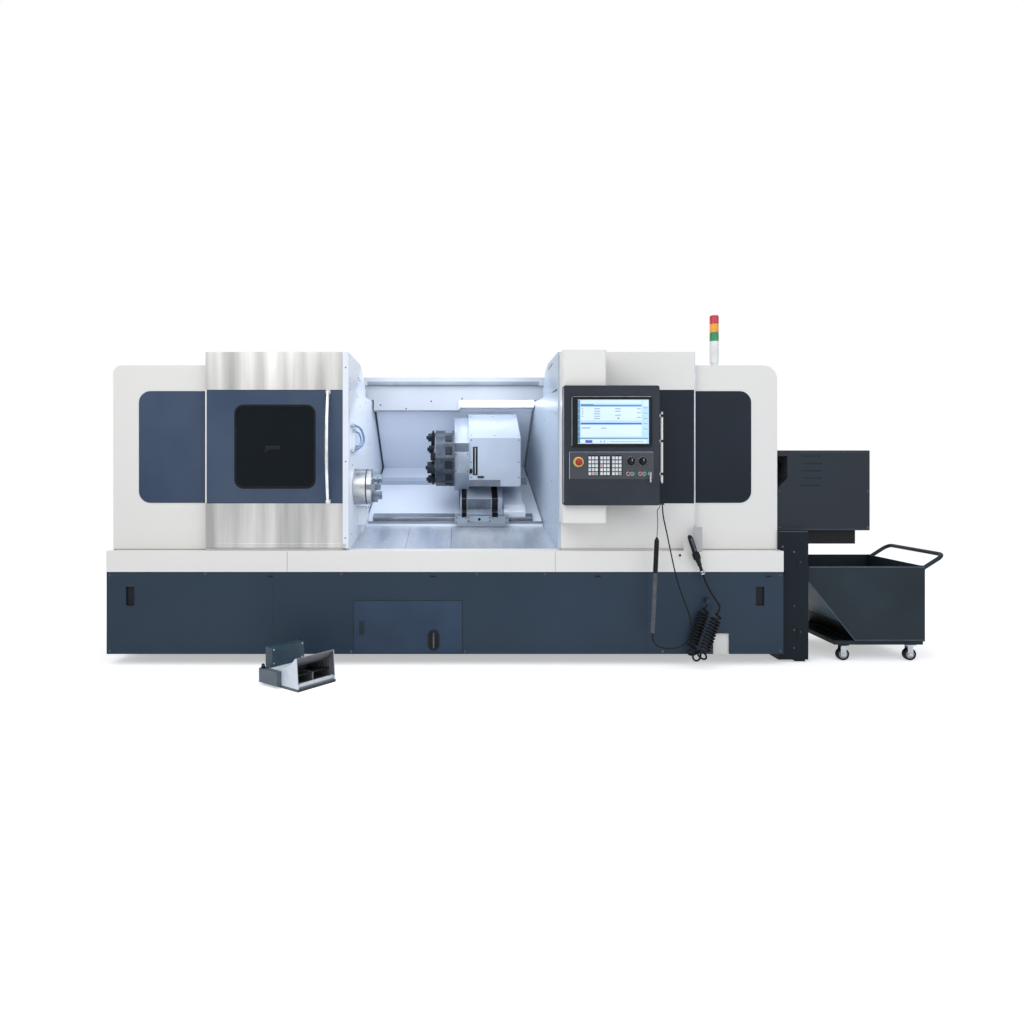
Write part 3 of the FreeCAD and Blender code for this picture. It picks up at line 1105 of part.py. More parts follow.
def make_pedal():
    frame = Placement(Vector(value_of("pedal_across"), value_of("pedal_front"), 0),
                      Rotation(Vector(0, 0, 1), value_of("pedal_turn")))
    wide, deep = value_of("pedal_wide"), value_of("pedal_long")
    high, wall, pin = value_of("hood_high"), value_of("hood_wall"), value_of("pin_radius")
    base = box_in("pedal_base", frame, (0, wide), (0, deep), (0, 14))
    bar = box_in("toe_bar", frame, (wall - 2, wide - wall + 2), (18, 30), (13, 34))

    outer = [(2, 12), (14, high), (24, high - 2), (46, 146), (68, 130), (102, 111), (142, 96),
             (deep - 10, 84), (deep - 10, 12)]
    inner = [(-2, 14), (-2, high + 9), (13, high - wall), (21, high - wall - 1), (40, 139), (63, 122),
             (98, 103), (140, 88), (deep - 10 - wall, 76), (deep - 10 - wall, 14)]

    def hood_part(name, ends, outline):
        body = doc.addObject("PartDesign::Body", name)
        sketch = outline_sketch(body, "YZ_Plane", outline)
        sketch.AttachmentOffset = Placement(Vector(0, 0, ends[0]), Rotation())
        pad = body.newObject("PartDesign::Pad", name + "_pad")
        pad.Profile = sketch
        pad.Length = ends[1] - ends[0]
        return seat(body, frame)

    hood = hood_part("hood", (1, wide - 1), outer)
    middle = wide / 2
    room = hood_part("hood_room", (wall, wide - wall), inner)
    divider = box_in("divider", frame, (middle - wall / 2, middle + wall / 2), (36, deep - 12), (13, 74))
    side_box = box_in("side_box", frame, (-32, 3), (deep - 120, deep + 30), (13, 88))
    gland = rod_in("cable_gland", frame, (-16, deep + 14, 86), "z", 9, 20)
    rear_box = box_in("rear_box", frame, (22, wide - 20), (deep - 14, deep + 44), (1, 190))
    pivot = rod_in("pedal_axle", frame, (wall - 1, 205, 34), "x", pin, wide - 2 * wall + 3)
    shell = cut("hood_shell", hood, room)
    node("pedal_housing", join("pedal_housing", base, bar, shell, divider, side_box, gland, rear_box, pivot))
    for index, start in enumerate((wall + 3, middle + wall / 2 + 3), 1):
        stop = start + middle - wall * 1.5 - 6
        plate_frame = seat_frame(frame, Vector(start, 205, 34), -10)
        tread = box_in("tread", plate_frame, (0, stop - start), (-165, 4), (4, 12))
        web = box_in("tread_web", plate_frame, (0, stop - start), (-8, 8), (-8, 6))
        hole = rod_in("tread_hole", plate_frame, (-1, 0, 0), "x", pin + value_of("run_play"),
                      stop - start + 2)
        ribs = [box_in("tread_rib", plate_frame, (4, stop - start - 4), (y, y + 4), (11, 14))
                for y in range(-156, -60, 14)]
        node(f"foot_pedal_{index}", cut(f"foot_pedal_{index}", join("pedal_solid", tread, web, *ribs), hole))


def seat_frame(frame, point, tilt):
    return frame.multiply(Placement(point, Rotation(Vector(1, 0, 0), tilt)))


# ---------------------------------------------------------------- build and write

make_base()
make_bed()
make_side_walls()
make_sheets()
make_guards()
make_top()
make_left_door()
make_right_door()
make_controls()
make_spindle()
make_carriage()
make_conveyor()
make_cart()
make_lamp()
make_gun()
make_pedal()
doc.recompute()

for thing in doc.Objects:
    if "Invalid" in thing.State or "Error" in thing.State:
        raise RuntimeError(f"{thing.Label} did not build: {thing.State}")
for name, thing in NODES.items():
    if thing.Shape.isNull() or not thing.Shape.isValid():
        raise RuntimeError(f"{name} has no valid shape")

os.makedirs("parts", exist_ok=True)
whole = Part.makeCompound([thing.Shape for thing in NODES.values()])
bounds = whole.BoundBox
print(f"{len(NODES)} sub-parts, box {bounds.XMin:.1f} {bounds.XMax:.1f} {bounds.YMin:.1f}"
      f" {bounds.YMax:.1f} {bounds.ZMin:.1f} {bounds.ZMax:.1f}")
for name, thing in NODES.items():
    thing.Shape.exportStep(f"parts/{name}.step")
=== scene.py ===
import math

import bpy
import numpy as np
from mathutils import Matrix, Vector


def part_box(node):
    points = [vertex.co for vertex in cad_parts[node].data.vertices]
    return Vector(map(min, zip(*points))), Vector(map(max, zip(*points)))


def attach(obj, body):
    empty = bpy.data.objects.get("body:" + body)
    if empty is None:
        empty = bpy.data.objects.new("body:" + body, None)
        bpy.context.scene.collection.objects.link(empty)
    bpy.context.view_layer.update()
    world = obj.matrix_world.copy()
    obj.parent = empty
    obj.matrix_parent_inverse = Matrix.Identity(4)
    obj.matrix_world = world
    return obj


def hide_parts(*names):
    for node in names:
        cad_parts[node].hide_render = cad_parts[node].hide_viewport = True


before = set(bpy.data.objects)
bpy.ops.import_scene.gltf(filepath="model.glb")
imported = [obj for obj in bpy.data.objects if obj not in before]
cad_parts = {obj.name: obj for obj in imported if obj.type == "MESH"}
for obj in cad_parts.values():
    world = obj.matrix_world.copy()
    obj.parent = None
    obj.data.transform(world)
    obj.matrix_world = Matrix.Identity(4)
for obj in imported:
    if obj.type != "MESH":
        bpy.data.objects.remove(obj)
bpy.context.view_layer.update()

bl_info = {
    "name": "Turning Lathe",
    "version": (1, 0, 0),
    "blender": (4, 5, 0),
    "location": "3D View > Sidebar > Lathe",
    "description": "Finishes, fittings, cords and a studio for an enclosed turning lathe",
    "category": "Object",
}

# Places in this file are in millimetres on the machine: x from the middle of the door opening,
# y from the front of the fixed guard to the rear, z up from the floor. One function turns them
# into the frame's metres.

MACHINE = np.array([425.0, 512.0, 0.0])
SLANT = math.radians(27)
SLOPE_FOOT = (515, 787)


def way(along, run, rise):
    """A place on the slope: run up it from its foot, rise off it."""
    return (along, SLOPE_FOOT[0] + run * math.cos(SLANT) - rise * math.sin(SLANT),
            SLOPE_FOOT[1] + run * math.sin(SLANT) + rise * math.cos(SLANT))


SPINDLE = way(0, -164, 372)
TURRET = way(0, 240, 372)
# How far each front face stands from the fixed guard's.
SKIRT_FACE, BAND_FACE = -86, -90
DOOR_FACE, DOOR_SKIN = -47, -45
BOX_FACE, PLATE_FACE, BEZEL_FACE = -240, -244, -248
PEDAL = np.array([-837.0, -626.0, 0.0])
PEDAL_TURN = math.radians(51.5)
PEDAL_AXES = np.array([[math.cos(PEDAL_TURN), math.sin(PEDAL_TURN), 0],
                       [-math.sin(PEDAL_TURN), math.cos(PEDAL_TURN), 0], [0, 0, 1]])
UP, DOWN = (0, 0, 1), (0, 0, -1)
LEFT, RIGHT = (-1, 0, 0), (1, 0, 0)
FRONT, BACK = (0, -1, 0), (0, 1, 0)
# Wide dark sheets hardly mirror the white studio.
DULL = {"Specular IOR Level": 0.16}
FINISHES = {}

# Columns: across, up and out of the face that a fitting sits on.
FACING = {
    "front": np.array([[1, 0, 0], [0, 0, 1], [0, -1, 0]], float),
    "back": np.array([[-1, 0, 0], [0, 0, 1], [0, 1, 0]], float),
    "left": np.array([[0, -1, 0], [0, 0, 1], [-1, 0, 0]], float),
    "right": np.array([[0, 1, 0], [0, 0, 1], [1, 0, 0]], float),
    "up": np.array([[1, 0, 0], [0, 1, 0], [0, 0, 1]], float),
    "down": np.array([[1, 0, 0], [0, -1, 0], [0, 0, -1]], float),
    "slope": np.array([[1, 0, 0], [0, math.cos(SLANT), math.sin(SLANT)],
                       [0, -math.sin(SLANT), math.cos(SLANT)]]),
    "slope_front": np.array([[1, 0, 0], [0, -math.sin(SLANT), math.cos(SLANT)],
                             [0, -math.cos(SLANT), -math.sin(SLANT)]]),
}


# ---------------------------------------------------------------- sizes and colours

class LatheSizes(bpy.types.PropertyGroup):
    """Sizes of the fittings."""
    screw: bpy.props.FloatProperty(name="Screw head", description="Radius of the guards' screw heads",
                                   default=0.007, unit="LENGTH")
    gasket: bpy.props.FloatProperty(name="Window seal", description="Width of the rubber round the window",
                                    default=0.014, unit="LENGTH")
    lamp_cord: bpy.props.FloatProperty(name="Lamp cord", description="Diameter of the hand lamp's cord",
                                       default=0.0075, unit="LENGTH")
    gun_hose: bpy.props.FloatProperty(name="Gun hose", description="Diameter of the coolant gun's hose",
                                      default=0.011, unit="LENGTH")
    floor: bpy.props.FloatProperty(name="Floor", description="Half width of the studio floor",
                                   default=30.0, unit="LENGTH")


class LatheColours(bpy.types.PropertyGroup):
    """Colours of the paints, as sRGB hex values."""
    cream: bpy.props.StringProperty(name="Guard", description="Powder coat of the guards",
                                    default="#e3e1dd")
    graphite: bpy.props.StringProperty(name="Band", description="Dark band of the right guard and door",
                                       default="#1a232d")
    navy: bpy.props.StringProperty(name="Base", description="Powder coat of the base skirt",
                                   default="#2f3d4c")
    slate: bpy.props.StringProperty(name="Fittings", description="Powder coat of the cart's brackets",
                                    default="#29333a")
    enclosure: bpy.props.StringProperty(name="Inside", description="Paint of the work area",
                                        default="#e4eaf3")
    panel: bpy.props.StringProperty(name="Panel", description="Paint of the operator panel",
                                    default="#343941")


# ---------------------------------------------------------------- surfaces

def metres(points):
    """Machine millimetres to the frame's metres."""
    return (np.asarray(points, float) - MACHINE) / 1000


def placed(local, centre, facing):
    """Points given across, up and out of a face, moved to that face of the machine."""
    matrix = FACING[facing] if isinstance(facing, str) else facing
    return local @ matrix + np.asarray(centre, float)


def raised(flat, height):
    """Rings of flat points, ring i lifted to height[i]."""
    return np.concatenate([flat, np.broadcast_to(height[:, None, None], flat.shape[:2] + (1,))], axis=-1)


def stack(rings, capped=True):
    """Rings of points joined by quads, first and last ring closed by a face each.

    rings[i, j] is point j of ring i; rings wind anticlockwise seen from where they lead.
    """
    rows, around = rings.shape[:2]
    index = np.arange(rows * around).reshape(rows, around)
    after = np.roll(index, -1, axis=1)
    quads = np.stack([index[:-1], after[:-1], after[1:], index[1:]], axis=-1).reshape(-1, 4).tolist()
    if capped:
        quads.append(index[0, ::-1].tolist())
        quads.append(index[-1].tolist())
    return rings.reshape(-1, 3), quads


def outline(wide, high, radius, corner=5):
    """A rounded rectangle: each corner is its centre plus radius (cos t, sin t) over a quarter turn."""
    radius = max(min(radius, wide / 2 - 0.01, high / 2 - 0.01), 0.01)
    turn = np.linspace(0, math.pi / 2, corner)
    centres = np.array([[1, 1], [-1, 1], [-1, -1], [1, -1]]) * [wide / 2 - radius, high / 2 - radius]
    turns = turn[None, :] + np.arange(4)[:, None] * math.pi / 2
    arc = radius * np.stack([np.cos(turns), np.sin(turns)], axis=-1)
    return (centres[:, None, :] + arc).reshape(-1, 2)


def slab(centre, size, radius=2.0, edge=1.0, facing="front", turn=0.0):
    """A plate with a rounded outline and an eased rim; centre is the middle of its back face.

    size is (wide, high, thick). The rim is a quarter circle of radius edge at the front.
    """
    wide, high, thick = size
    edge = min(edge, thick * 0.9, wide / 2.1, high / 2.1)
    ease = np.linspace(0, math.pi / 2, 4)
    inset = np.concatenate([[0.0], edge * (1 - np.cos(ease))])
    height = np.concatenate([[0.0], thick - edge + edge * np.sin(ease)])
    flat = np.stack([outline(wide - 2 * step, high - 2 * step, radius - step * 0.6) for step in inset])
    if turn:
        angle = math.radians(turn)
        flat = flat @ np.array([[math.cos(angle), math.sin(angle)], [-math.sin(angle), math.cos(angle)]])
    return stack(placed(raised(flat, height), centre, facing))


def turned(profile, centre, facing="front", around=32, capped=True):
    """A turned form: profile (r, h) goes to r cos t across, r sin t up, h out.

    A ring's profile comes back to its first point and isn't capped.
    """
    profile = np.asarray(profile, float)
    turn = np.linspace(0, 2 * math.pi, around, endpoint=False)
    local = np.stack([profile[:, :1] * np.cos(turn), profile[:, :1] * np.sin(turn),
                      np.broadcast_to(profile[:, 1:], (len(profile), around))], axis=-1)
    return stack(placed(local, centre, facing), capped)


def ring(profile, centre, facing="front", around=24):
    """A turned ring: its profile is closed by its own first point."""
    return turned(list(profile) + [profile[0]], centre, facing, around, capped=False)


def tube(path, radius, around=12):
    """A round tube: each ring is radius (cos t n + sin t b) round the path's point.

    n and b are square to the path, found from one fixed direction.
    """
    path = np.asarray(path, float)
    along = np.gradient(path, axis=0)
    along /= np.linalg.norm(along, axis=1, keepdims=True)
    fixed = np.eye(3)[int(np.argmin(np.abs(along).mean(axis=0)))]
    first = np.cross(fixed, along)
    first /= np.linalg.norm(first, axis=1, keepdims=True)
    second = np.cross(along, first)
    turn = np.linspace(0, 2 * math.pi, around, endpoint=False)[None, :, None]
    radius = np.broadcast_to(np.asarray(radius, float), (len(path),))[:, None, None]
    rings = path[:, None, :] + radius * (np.cos(turn) * first[:, None, :] + np.sin(turn) * second[:, None, :])
    return stack(rings)


def smooth_path(points, steps=16):
    """A Catmull-Rom curve through the points: four neighbours weighted by cubics of the run."""
    points = np.asarray(points, float)
    padded = np.concatenate([[2 * points[0] - points[1]], points, [2 * points[-1] - points[-2]]])
    run = np.linspace(0, 1, steps, endpoint=False)[:, None]
    weights = np.concatenate([-run**3 + 2 * run**2 - run, 3 * run**3 - 5 * run**2 + 2,
                              -3 * run**3 + 4 * run**2 + run, run**3 - run**2], axis=1) / 2
    spans = np.stack([padded[start:start + len(points) - 1] for start in range(4)], axis=1)
    return np.concatenate([np.einsum("sk,nkc->nsc", weights, spans).reshape(-1, 3), points[-1:]])


def copies(form, places):
    """The same form moved to each place."""
    points, faces = form
    places = np.asarray(places, float)
    moved = (points[None, :, :] + places[:, None, :]).reshape(-1, 3)
    return moved, [[corner + step * len(points) for corner in face]
                   for step in range(len(places)) for face in faces]


def screws(places, radius=7.0, height=2.5, facing="front"):
    """Button-head screws, one at each place: a quarter of an ellipse turned round a sunk socket."""
    bulge = np.linspace(0, math.pi / 2, 5)[:-1]
    profile = [(radius * math.cos(step), height * math.sin(step)) for step in bulge]
    profile += [(radius * 0.42, height), (radius * 0.40, height * 0.35), (radius * 0.02, height * 0.3)]
    return copies(turned(profile, (0, 0, 0), facing, 12), places)


def strip(start, end, wide, thick, facing="front"):
    """A thin bar laid from start to end on a face, with eased edges."""
    start, end = np.asarray(start, float), np.asarray(end, float)
    across, up, out = FACING[facing]
    along = end - start
    turn = math.degrees(math.atan2(along @ up, along @ across))
    return slab((start + end) / 2, (float(np.linalg.norm(along)), wide, thick), wide / 3, thick / 3,
                facing, turn)


def upright(x, y, low, high, wide, thick):
    """A strip that stands on a front face."""
    return strip((x, y, low), (x, y, high), wide, thick)


def level(left, right, y, z, wide, thick):
    """A strip that lies along a front face."""
    return strip((left, y, z), (right, y, z), wide, thick)


def joined(parts):
    """Several point and face sets as one."""
    points = []
    faces = []
    base = 0
    for part_points, part_faces in parts:
        points.append(part_points)
        faces += [[corner + base for corner in face] for face in part_faces]
        base += len(part_points)
    return np.concatenate(points), faces


def fitted(name, data, finish_name, body):
    """An object of a mesh or curve, with its finish and body."""
    data.materials.append(FINISHES[finish_name])
    thing = bpy.data.objects.new(name, data)
    bpy.context.scene.collection.objects.link(thing)
    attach(thing, body)
    return thing


def piece(name, parts, finish_name, body="machine"):
    """A new piece from point and face sets."""
    points, faces = joined(parts if isinstance(parts, list) else [parts])
    mesh = bpy.data.meshes.new(name)
    mesh.from_pydata(metres(points).tolist(), [], faces)
    mesh.update()
    mesh.shade_smooth()
    mesh.set_sharp_from_angle(angle=math.radians(35))
    return fitted(name, mesh, finish_name, body)


# ---------------------------------------------------------------- finishes

def linear(code):
    """sRGB hex to linear colour."""
    parts = np.array([int(code[place:place + 2], 16) / 255 for place in (1, 3, 5)])
    parts = np.where(parts <= 0.04045, parts / 12.92, ((parts + 0.055) / 1.055) ** 2.4)
    return (*parts.tolist(), 1.0)


def add(tree, kind, links=None, **settings):
    """One node with its settings, and its inputs linked or set."""
    made = tree.nodes.new(kind)
    for key, value in settings.items():
        setattr(made, key, value)
    for key, value in (links or {}).items():
        if isinstance(value, bpy.types.NodeSocket):
            tree.links.new(value, made.inputs[key])
        else:
            made.inputs[key].default_value = value
    return made


def grain(tree, where, size, detail=2.0):
    """Noise whose cells are size millimetres along x, y and z."""
    scale = [1000 / step for step in (size if isinstance(size, tuple) else (size,) * 3)]
    mapped = add(tree, "ShaderNodeMapping", {"Vector": where, "Scale": scale})
    return add(tree, "ShaderNodeTexNoise", {"Vector": mapped.outputs[0], "Scale": 1.0,
                                            "Detail": detail}).outputs["Fac"]


def spread(tree, value, low, high):
    """The middle of a noise stretched to run from low to high."""
    return add(tree, "ShaderNodeMapRange", {"Value": value, "From Min": 0.3, "From Max": 0.7,
                                            "To Min": low, "To Max": high}).outputs[0]


def zone(tree, where, tests):
    """1 where every test holds: (direction, limit) asks direction . place > limit millimetres."""
    mask = None
    for direction, limit in tests:
        direction = np.asarray(direction, float)
        limit = (limit - float(direction @ MACHINE)) / 1000
        along = add(tree, "ShaderNodeVectorMath", {0: where, 1: direction.tolist()}, operation="DOT_PRODUCT")
        held = add(tree, "ShaderNodeMath", {0: along.outputs["Value"], 1: limit}, operation="GREATER_THAN")
        mask = held.outputs[0] if mask is None else add(
            tree, "ShaderNodeMath", {0: mask, 1: held.outputs[0]}, operation="MULTIPLY").outputs[0]
    return mask


def blended(tree, mask, first, second, kind="FLOAT"):
    """First where the mask is 0, second where it is 1."""
    mixed = add(tree, "ShaderNodeMix", data_type=kind, clamp_factor=True)
    for socket, value in zip([mixed.inputs[0]] + [s for s in mixed.inputs if s.enabled][1:3],
                             (mask, first, second)):
        if isinstance(value, bpy.types.NodeSocket):
            tree.links.new(value, socket)
        else:
            socket.default_value = value
    return [s for s in mixed.outputs if s.enabled][0]


def recipe(colour, rough=0.45, metal=0.0, mottle=0.03, mottle_mm=260.0, grain_mm=1.2, bump=0.25,
           vary=0.05, deep=None):
    """What one surface looks like; deep is the darker colour of its mottle."""
    return dict(colour=colour, rough=rough, metal=metal, mottle=mottle, mottle_mm=mottle_mm,
                grain_mm=grain_mm, bump=bump, vary=vary, deep=deep)


# The work area's enamel on sides that turn from the lamp, a shade deeper.
SHADED = recipe("#b9c6d4", rough=0.32, mottle_mm=500.0, grain_mm=1.5, bump=0.1, deep="#adbbcb")


def layer(tree, where, look):
    """Colour, roughness, metal and height of one recipe."""
    light = np.array(linear(look["colour"]))
    dark = np.array(linear(look["deep"])) if look["deep"] else light * (1 - 2 * look["mottle"])
    dark[3] = 1
    cloud = spread(tree, grain(tree, where, look["mottle_mm"], 3.0), 0.0, 1.0)
    colour = blended(tree, cloud, tuple(dark), tuple(light), "RGBA")
    fine = grain(tree, where, look["grain_mm"])
    rough = spread(tree, fine, look["rough"] - look["vary"], look["rough"] + look["vary"])
    return colour, rough, look["metal"], fine, look["bump"]


def emptied(owner):
    """The node tree of a new material or world, with nothing in it."""
    owner.use_nodes = True
    owner.node_tree.nodes.clear()
    return owner.node_tree


def finish(name, look, zones=(), **shader):
    """A material of one recipe, with other recipes over parts of it."""
    made = bpy.data.materials.new(name)
    tree = emptied(made)
    where = add(tree, "ShaderNodeTexCoord").outputs["Object"]
    colour, rough, metal, height, bump = layer(tree, where, look)
    for over, tests in zones:
        mask = zone(tree, where, tests)
        top = layer(tree, where, over)
        colour = blended(tree, mask, colour, top[0], "RGBA")
        rough = blended(tree, mask, rough, top[1])
        if metal != top[2] or isinstance(metal, bpy.types.NodeSocket):
            metal = blended(tree, mask, metal, top[2])
        height = blended(tree, mask, height, top[3])
    normal = add(tree, "ShaderNodeBump", {"Height": height, "Strength": bump, "Distance": 0.0004})
    surface = add(tree, "ShaderNodeBsdfPrincipled",
                  {"Base Color": colour, "Roughness": rough, "Metallic": metal,
                   "Normal": normal.outputs[0], **shader})
    add(tree, "ShaderNodeOutputMaterial", {"Surface": surface.outputs[0]})
    FINISHES[name] = made


def glow(name, colour, strength):
    """A lit surface whose brightness falls a little across it, as a diffuser's does."""
    made = bpy.data.materials.new(name)
    tree = emptied(made)
    where = add(tree, "ShaderNodeTexCoord").outputs["Object"]
    cloud = spread(tree, grain(tree, where, 60.0), 0.92, 1.0)
    tinted = blended(tree, cloud, tuple(np.array(linear(colour)) * 0.8), linear(colour), "RGBA")
    surface = add(tree, "ShaderNodeBsdfPrincipled",
                  {"Base Color": tinted, "Roughness": 0.25, "Emission Color": tinted,
                   "Emission Strength": strength})
    add(tree, "ShaderNodeOutputMaterial", {"Surface": surface.outputs[0]})
    FINISHES[name] = made


def seen_directly(tree):
    """1 for what the camera sees, itself or in glass and polished metal."""
    ray = add(tree, "ShaderNodeLightPath")
    seen = ray.outputs["Is Camera Ray"]
    for kind in ("Is Glossy Ray", "Is Transmission Ray"):
        seen = add(tree, "ShaderNodeMath", {0: seen, 1: ray.outputs[kind]}, operation="MAXIMUM").outputs[0]
    return seen


def cover(node_name, finish_name):
    """Give a carried-over solid its finish."""
    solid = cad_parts[node_name]
    solid.data.materials.clear()
    solid.data.materials.append(FINISHES[finish_name])


def pedal_zones(shell):
    """The foot switch's coats: pale outside, dark base and side box, teal box behind."""
    across, deep = PEDAL_AXES[0], PEDAL_AXES[1]
    base = recipe("#202428", rough=0.5, mottle_mm=60.0, deep="#181b1e")
    box = recipe("#55616c", rough=0.45, mottle_mm=60.0, deep="#485460")
    teal = recipe("#24404f", rough=0.45, mottle_mm=60.0, deep="#1b3240")
    over = []
    # The hood's own middle line; its skin lies above each run of it.
    line = [(22.5, 166.5), (43, 142.5), (65.5, 126), (100, 107), (141, 92), (240, 80)]
    for (near, high), (far, low) in zip(line, line[1:]):
        slope = (low - high) / (far - near)
        over.append((np.array([0, 0, 1]) - slope * deep, high - slope * (near + deep @ PEDAL)))
    return [(shell, over), (shell, [(across, across @ PEDAL + 256)]),
            (shell, [(-across, -across @ PEDAL - 4)]),
            (shell, [(-deep, -deep @ PEDAL - 32), ((0, 0, 1), 15), ((0, 0, -1), -36)]),
            (base, [((0, 0, -1), -13.9)]), (box, [(-across, -across @ PEDAL - 0.5)]),
            (teal, [(deep, deep @ PEDAL + 239.6), ((0, 0, 1), 85)]),
            (teal, [(deep, deep @ PEDAL + 244.5), (across, across @ PEDAL + 4)])]


def sheet_finishes(hues):
    """Powder coats and enamels of the folded sheets."""
    # Powder coat on folded sheet: an even satin with fine orange peel, drawn at 1.5 mm.
    cream = recipe(hues.cream, rough=0.40, mottle=0.012, mottle_mm=700.0, grain_mm=1.5, bump=0.12)
    finish("cream powder coat", cream)
    # Stove enamel inside the work area: a cool white with a soft shine.
    inside = recipe(hues.enclosure, rough=0.32, mottle=0.02, mottle_mm=500.0, grain_mm=1.5, bump=0.1)
    finish("white stove enamel", inside)
    # The rear sheet is glossier than the walls beside it.
    finish("pale blue stove enamel", recipe("#e4edfb", rough=0.26, mottle=0.02, mottle_mm=600.0,
                                            grain_mm=1.5, bump=0.08))
    # Near black with a dull bloom, and clouds of half a metre.
    band = recipe(hues.graphite, rough=0.40, mottle_mm=(500.0, 500.0, 420.0), grain_mm=1.2, bump=0.1,
                  deep="#151d26")
    finish("graphite powder coat", band, **DULL)
    # The left bands' powder coat: a dusty steel blue that drifts from light to dark.
    left_band = recipe("#49566a", rough=0.38, mottle_mm=(600.0, 600.0, 700.0), grain_mm=1.2, bump=0.1,
                       deep="#34445c")
    # The base: dark blue with slow clouds, matt enough to hide the studio.
    finish("navy powder coat", recipe(hues.navy, rough=0.42, mottle_mm=900.0, grain_mm=1.2, bump=0.15,
                                      deep="#283644"), **DULL)
    # The cover in the skirt is a purer blue than the skirt.
    finish("navy cover powder coat", recipe("#33445a", rough=0.42, mottle_mm=300.0, grain_mm=1.2, bump=0.15,
                                            deep="#2b3a4d"), **DULL)
    # Green-black, a little rough.
    finish("slate powder coat", recipe(hues.slate, rough=0.48, mottle_mm=300.0, grain_mm=1.0, bump=0.25,
                                       deep="#222b31"), **DULL)
    # Slate painted lighter along top edges, rims and seams, as a painted highlight.
    finish("slate painted as edge highlight", recipe("#566069", rough=0.4, mottle_mm=120.0, grain_mm=1.0, bump=0.2,
                                              deep="#434c55"), **DULL)
    # The operator panel's fine texture, drawn at 0.9 mm, breaks up the light.
    panel = recipe(hues.panel, rough=0.44, mottle_mm=300.0, grain_mm=0.9, bump=0.3, deep="#2b3037")
    finish("charcoal textured enamel", panel, **DULL)
    # The riser beside the base is darker than the conveyor's head, which is a neutral black.
    finish("dark riser powder coat", recipe("#0d1a23", rough=0.45, mottle_mm=260.0, grain_mm=1.0, bump=0.25,
                                            deep="#0a151d"), **DULL)
    chute = recipe("#191c1e", rough=0.5, mottle_mm=100.0, deep="#121415")
    finish("dark conveyor powder coat", recipe("#2d3035", rough=0.45, mottle_mm=400.0, grain_mm=1.0,
                                               bump=0.2, deep="#273038"), [(chute, [(DOWN, -784)])], **DULL)
    # Cream outside, with the dusty blue on the guard's raised band.
    finish("cream and blue powder coat", cream, [(left_band, [(FRONT, 0.5)])], **DULL)
    # Cream outside, graphite on the band, and the work area's enamel painted a shade deeper on the wall that
    # closes the work area.
    finish("cream and graphite powder coat", cream,
           [(band, [(FRONT, 0.5)]), (SHADED, [(LEFT, -605), (BACK, 1)])], **DULL)
    # The right door: the same coats, with its band 45 mm further out.
    finish("cream and graphite door powder coat", cream,
           [(band, [(FRONT, 45.5)]), (SHADED, [(LEFT, -600)])], **DULL)
    # Stainless brushed upright: long soft streaks 90 mm apart, partly brushing and partly painted reflection,
    # over a 0.6 mm line.
    stainless = recipe("#d4d3d1", rough=0.34, metal=1.0, mottle_mm=(90.0, 1500.0, 1500.0),
                       grain_mm=(0.6, 70.0, 70.0), bump=0.12, vary=0.08, deep="#9e9e9d")
    finish("brushed stainless steel", stainless)
    # The left door: bare stainless, its blue band, and enamel on the edge inside.
    finish("stainless steel and blue powder coat", stainless,
           [(left_band, [(FRONT, 45.5)]), (inside, [(RIGHT, -696.2)])], **DULL)
    # Lacquer on the slide's cover: smooth and silvery, bright on top under the lamp.
    finish("silver lacquered cover", recipe("#a7b2c0", rough=0.3, mottle_mm=200.0, grain_mm=1.2,
                                            bump=0.1, deep="#99a5b5"))
    # Lacquer on the saddle: cloudy grey, where coolant has dried on it.
    finish("grey machine lacquer", recipe("#96a2b0", rough=0.35, mottle_mm=120.0, grain_mm=1.0, bump=0.2,
                                          deep="#74828f"))
    # Two greys on the beams over the opening, plain and even.
    finish("light grey enamel", recipe("#b7bcc4", rough=0.35, mottle_mm=400.0, grain_mm=1.4, bump=0.1,
                                       deep="#abb1ba"))
    finish("grey beam enamel", recipe("#8d949e", rough=0.4, mottle_mm=200.0, grain_mm=1.2, bump=0.15,
                                      deep="#747c87"))
    # Painted shadow in the gaps and seams between sheets and under ledges and beams, without shine.
    finish("painted seam shadow", recipe("#30363d", rough=0.6, mottle_mm=50.0, deep="#262b31"), **DULL)
    # The holder is cream sheet with a black pad behind the gun.
    pad = recipe("#17191c", rough=0.45, mottle_mm=20.0, deep="#101214")
    finish("cream powder coat and black pad", cream, [(pad, [(FRONT, 94.6)])], **DULL)
    # Charcoal plate with pale printed key fields and a yellow ring under the stop button.
    face = [(FRONT, 244.6)]
    fields = recipe("#dfe3e6", rough=0.4, mottle_mm=8.0, grain_mm=0.6, bump=0.2, deep="#b5bcc2")
    halo = recipe("#e8cd7c", rough=0.35, mottle_mm=30.0, grain_mm=0.8, bump=0.1, deep="#d6b65c")
    finish("printed key plate", panel, [(fields, face + [(LEFT, -925), (RIGHT, 720)]),
                                        (halo, face + [(LEFT, -705)])])
    # The cart: slate outside; its sloping sheet painted a lighter teal for the light reflected on it, running
    # down into a painted shadow.
    slope = (-360 / 459, 0, -285 / 459)
    teal = recipe("#3b6a7e", rough=0.4, mottle_mm=120.0, grain_mm=1.0, bump=0.2, deep="#234758")
    shadow = recipe("#15181b", rough=0.5, mottle_mm=120.0, deep="#0e1012")
    finish("cart powder coat", recipe("#29343b", rough=0.46, mottle_mm=300.0, grain_mm=1.0, bump=0.2,
                                      deep="#212b31"),
           [(teal, [(slope, -1939.5), (UP, 235)]),
            (shadow, [(slope, -1939.5), (DOWN, -235), (UP, 122)])], **DULL)
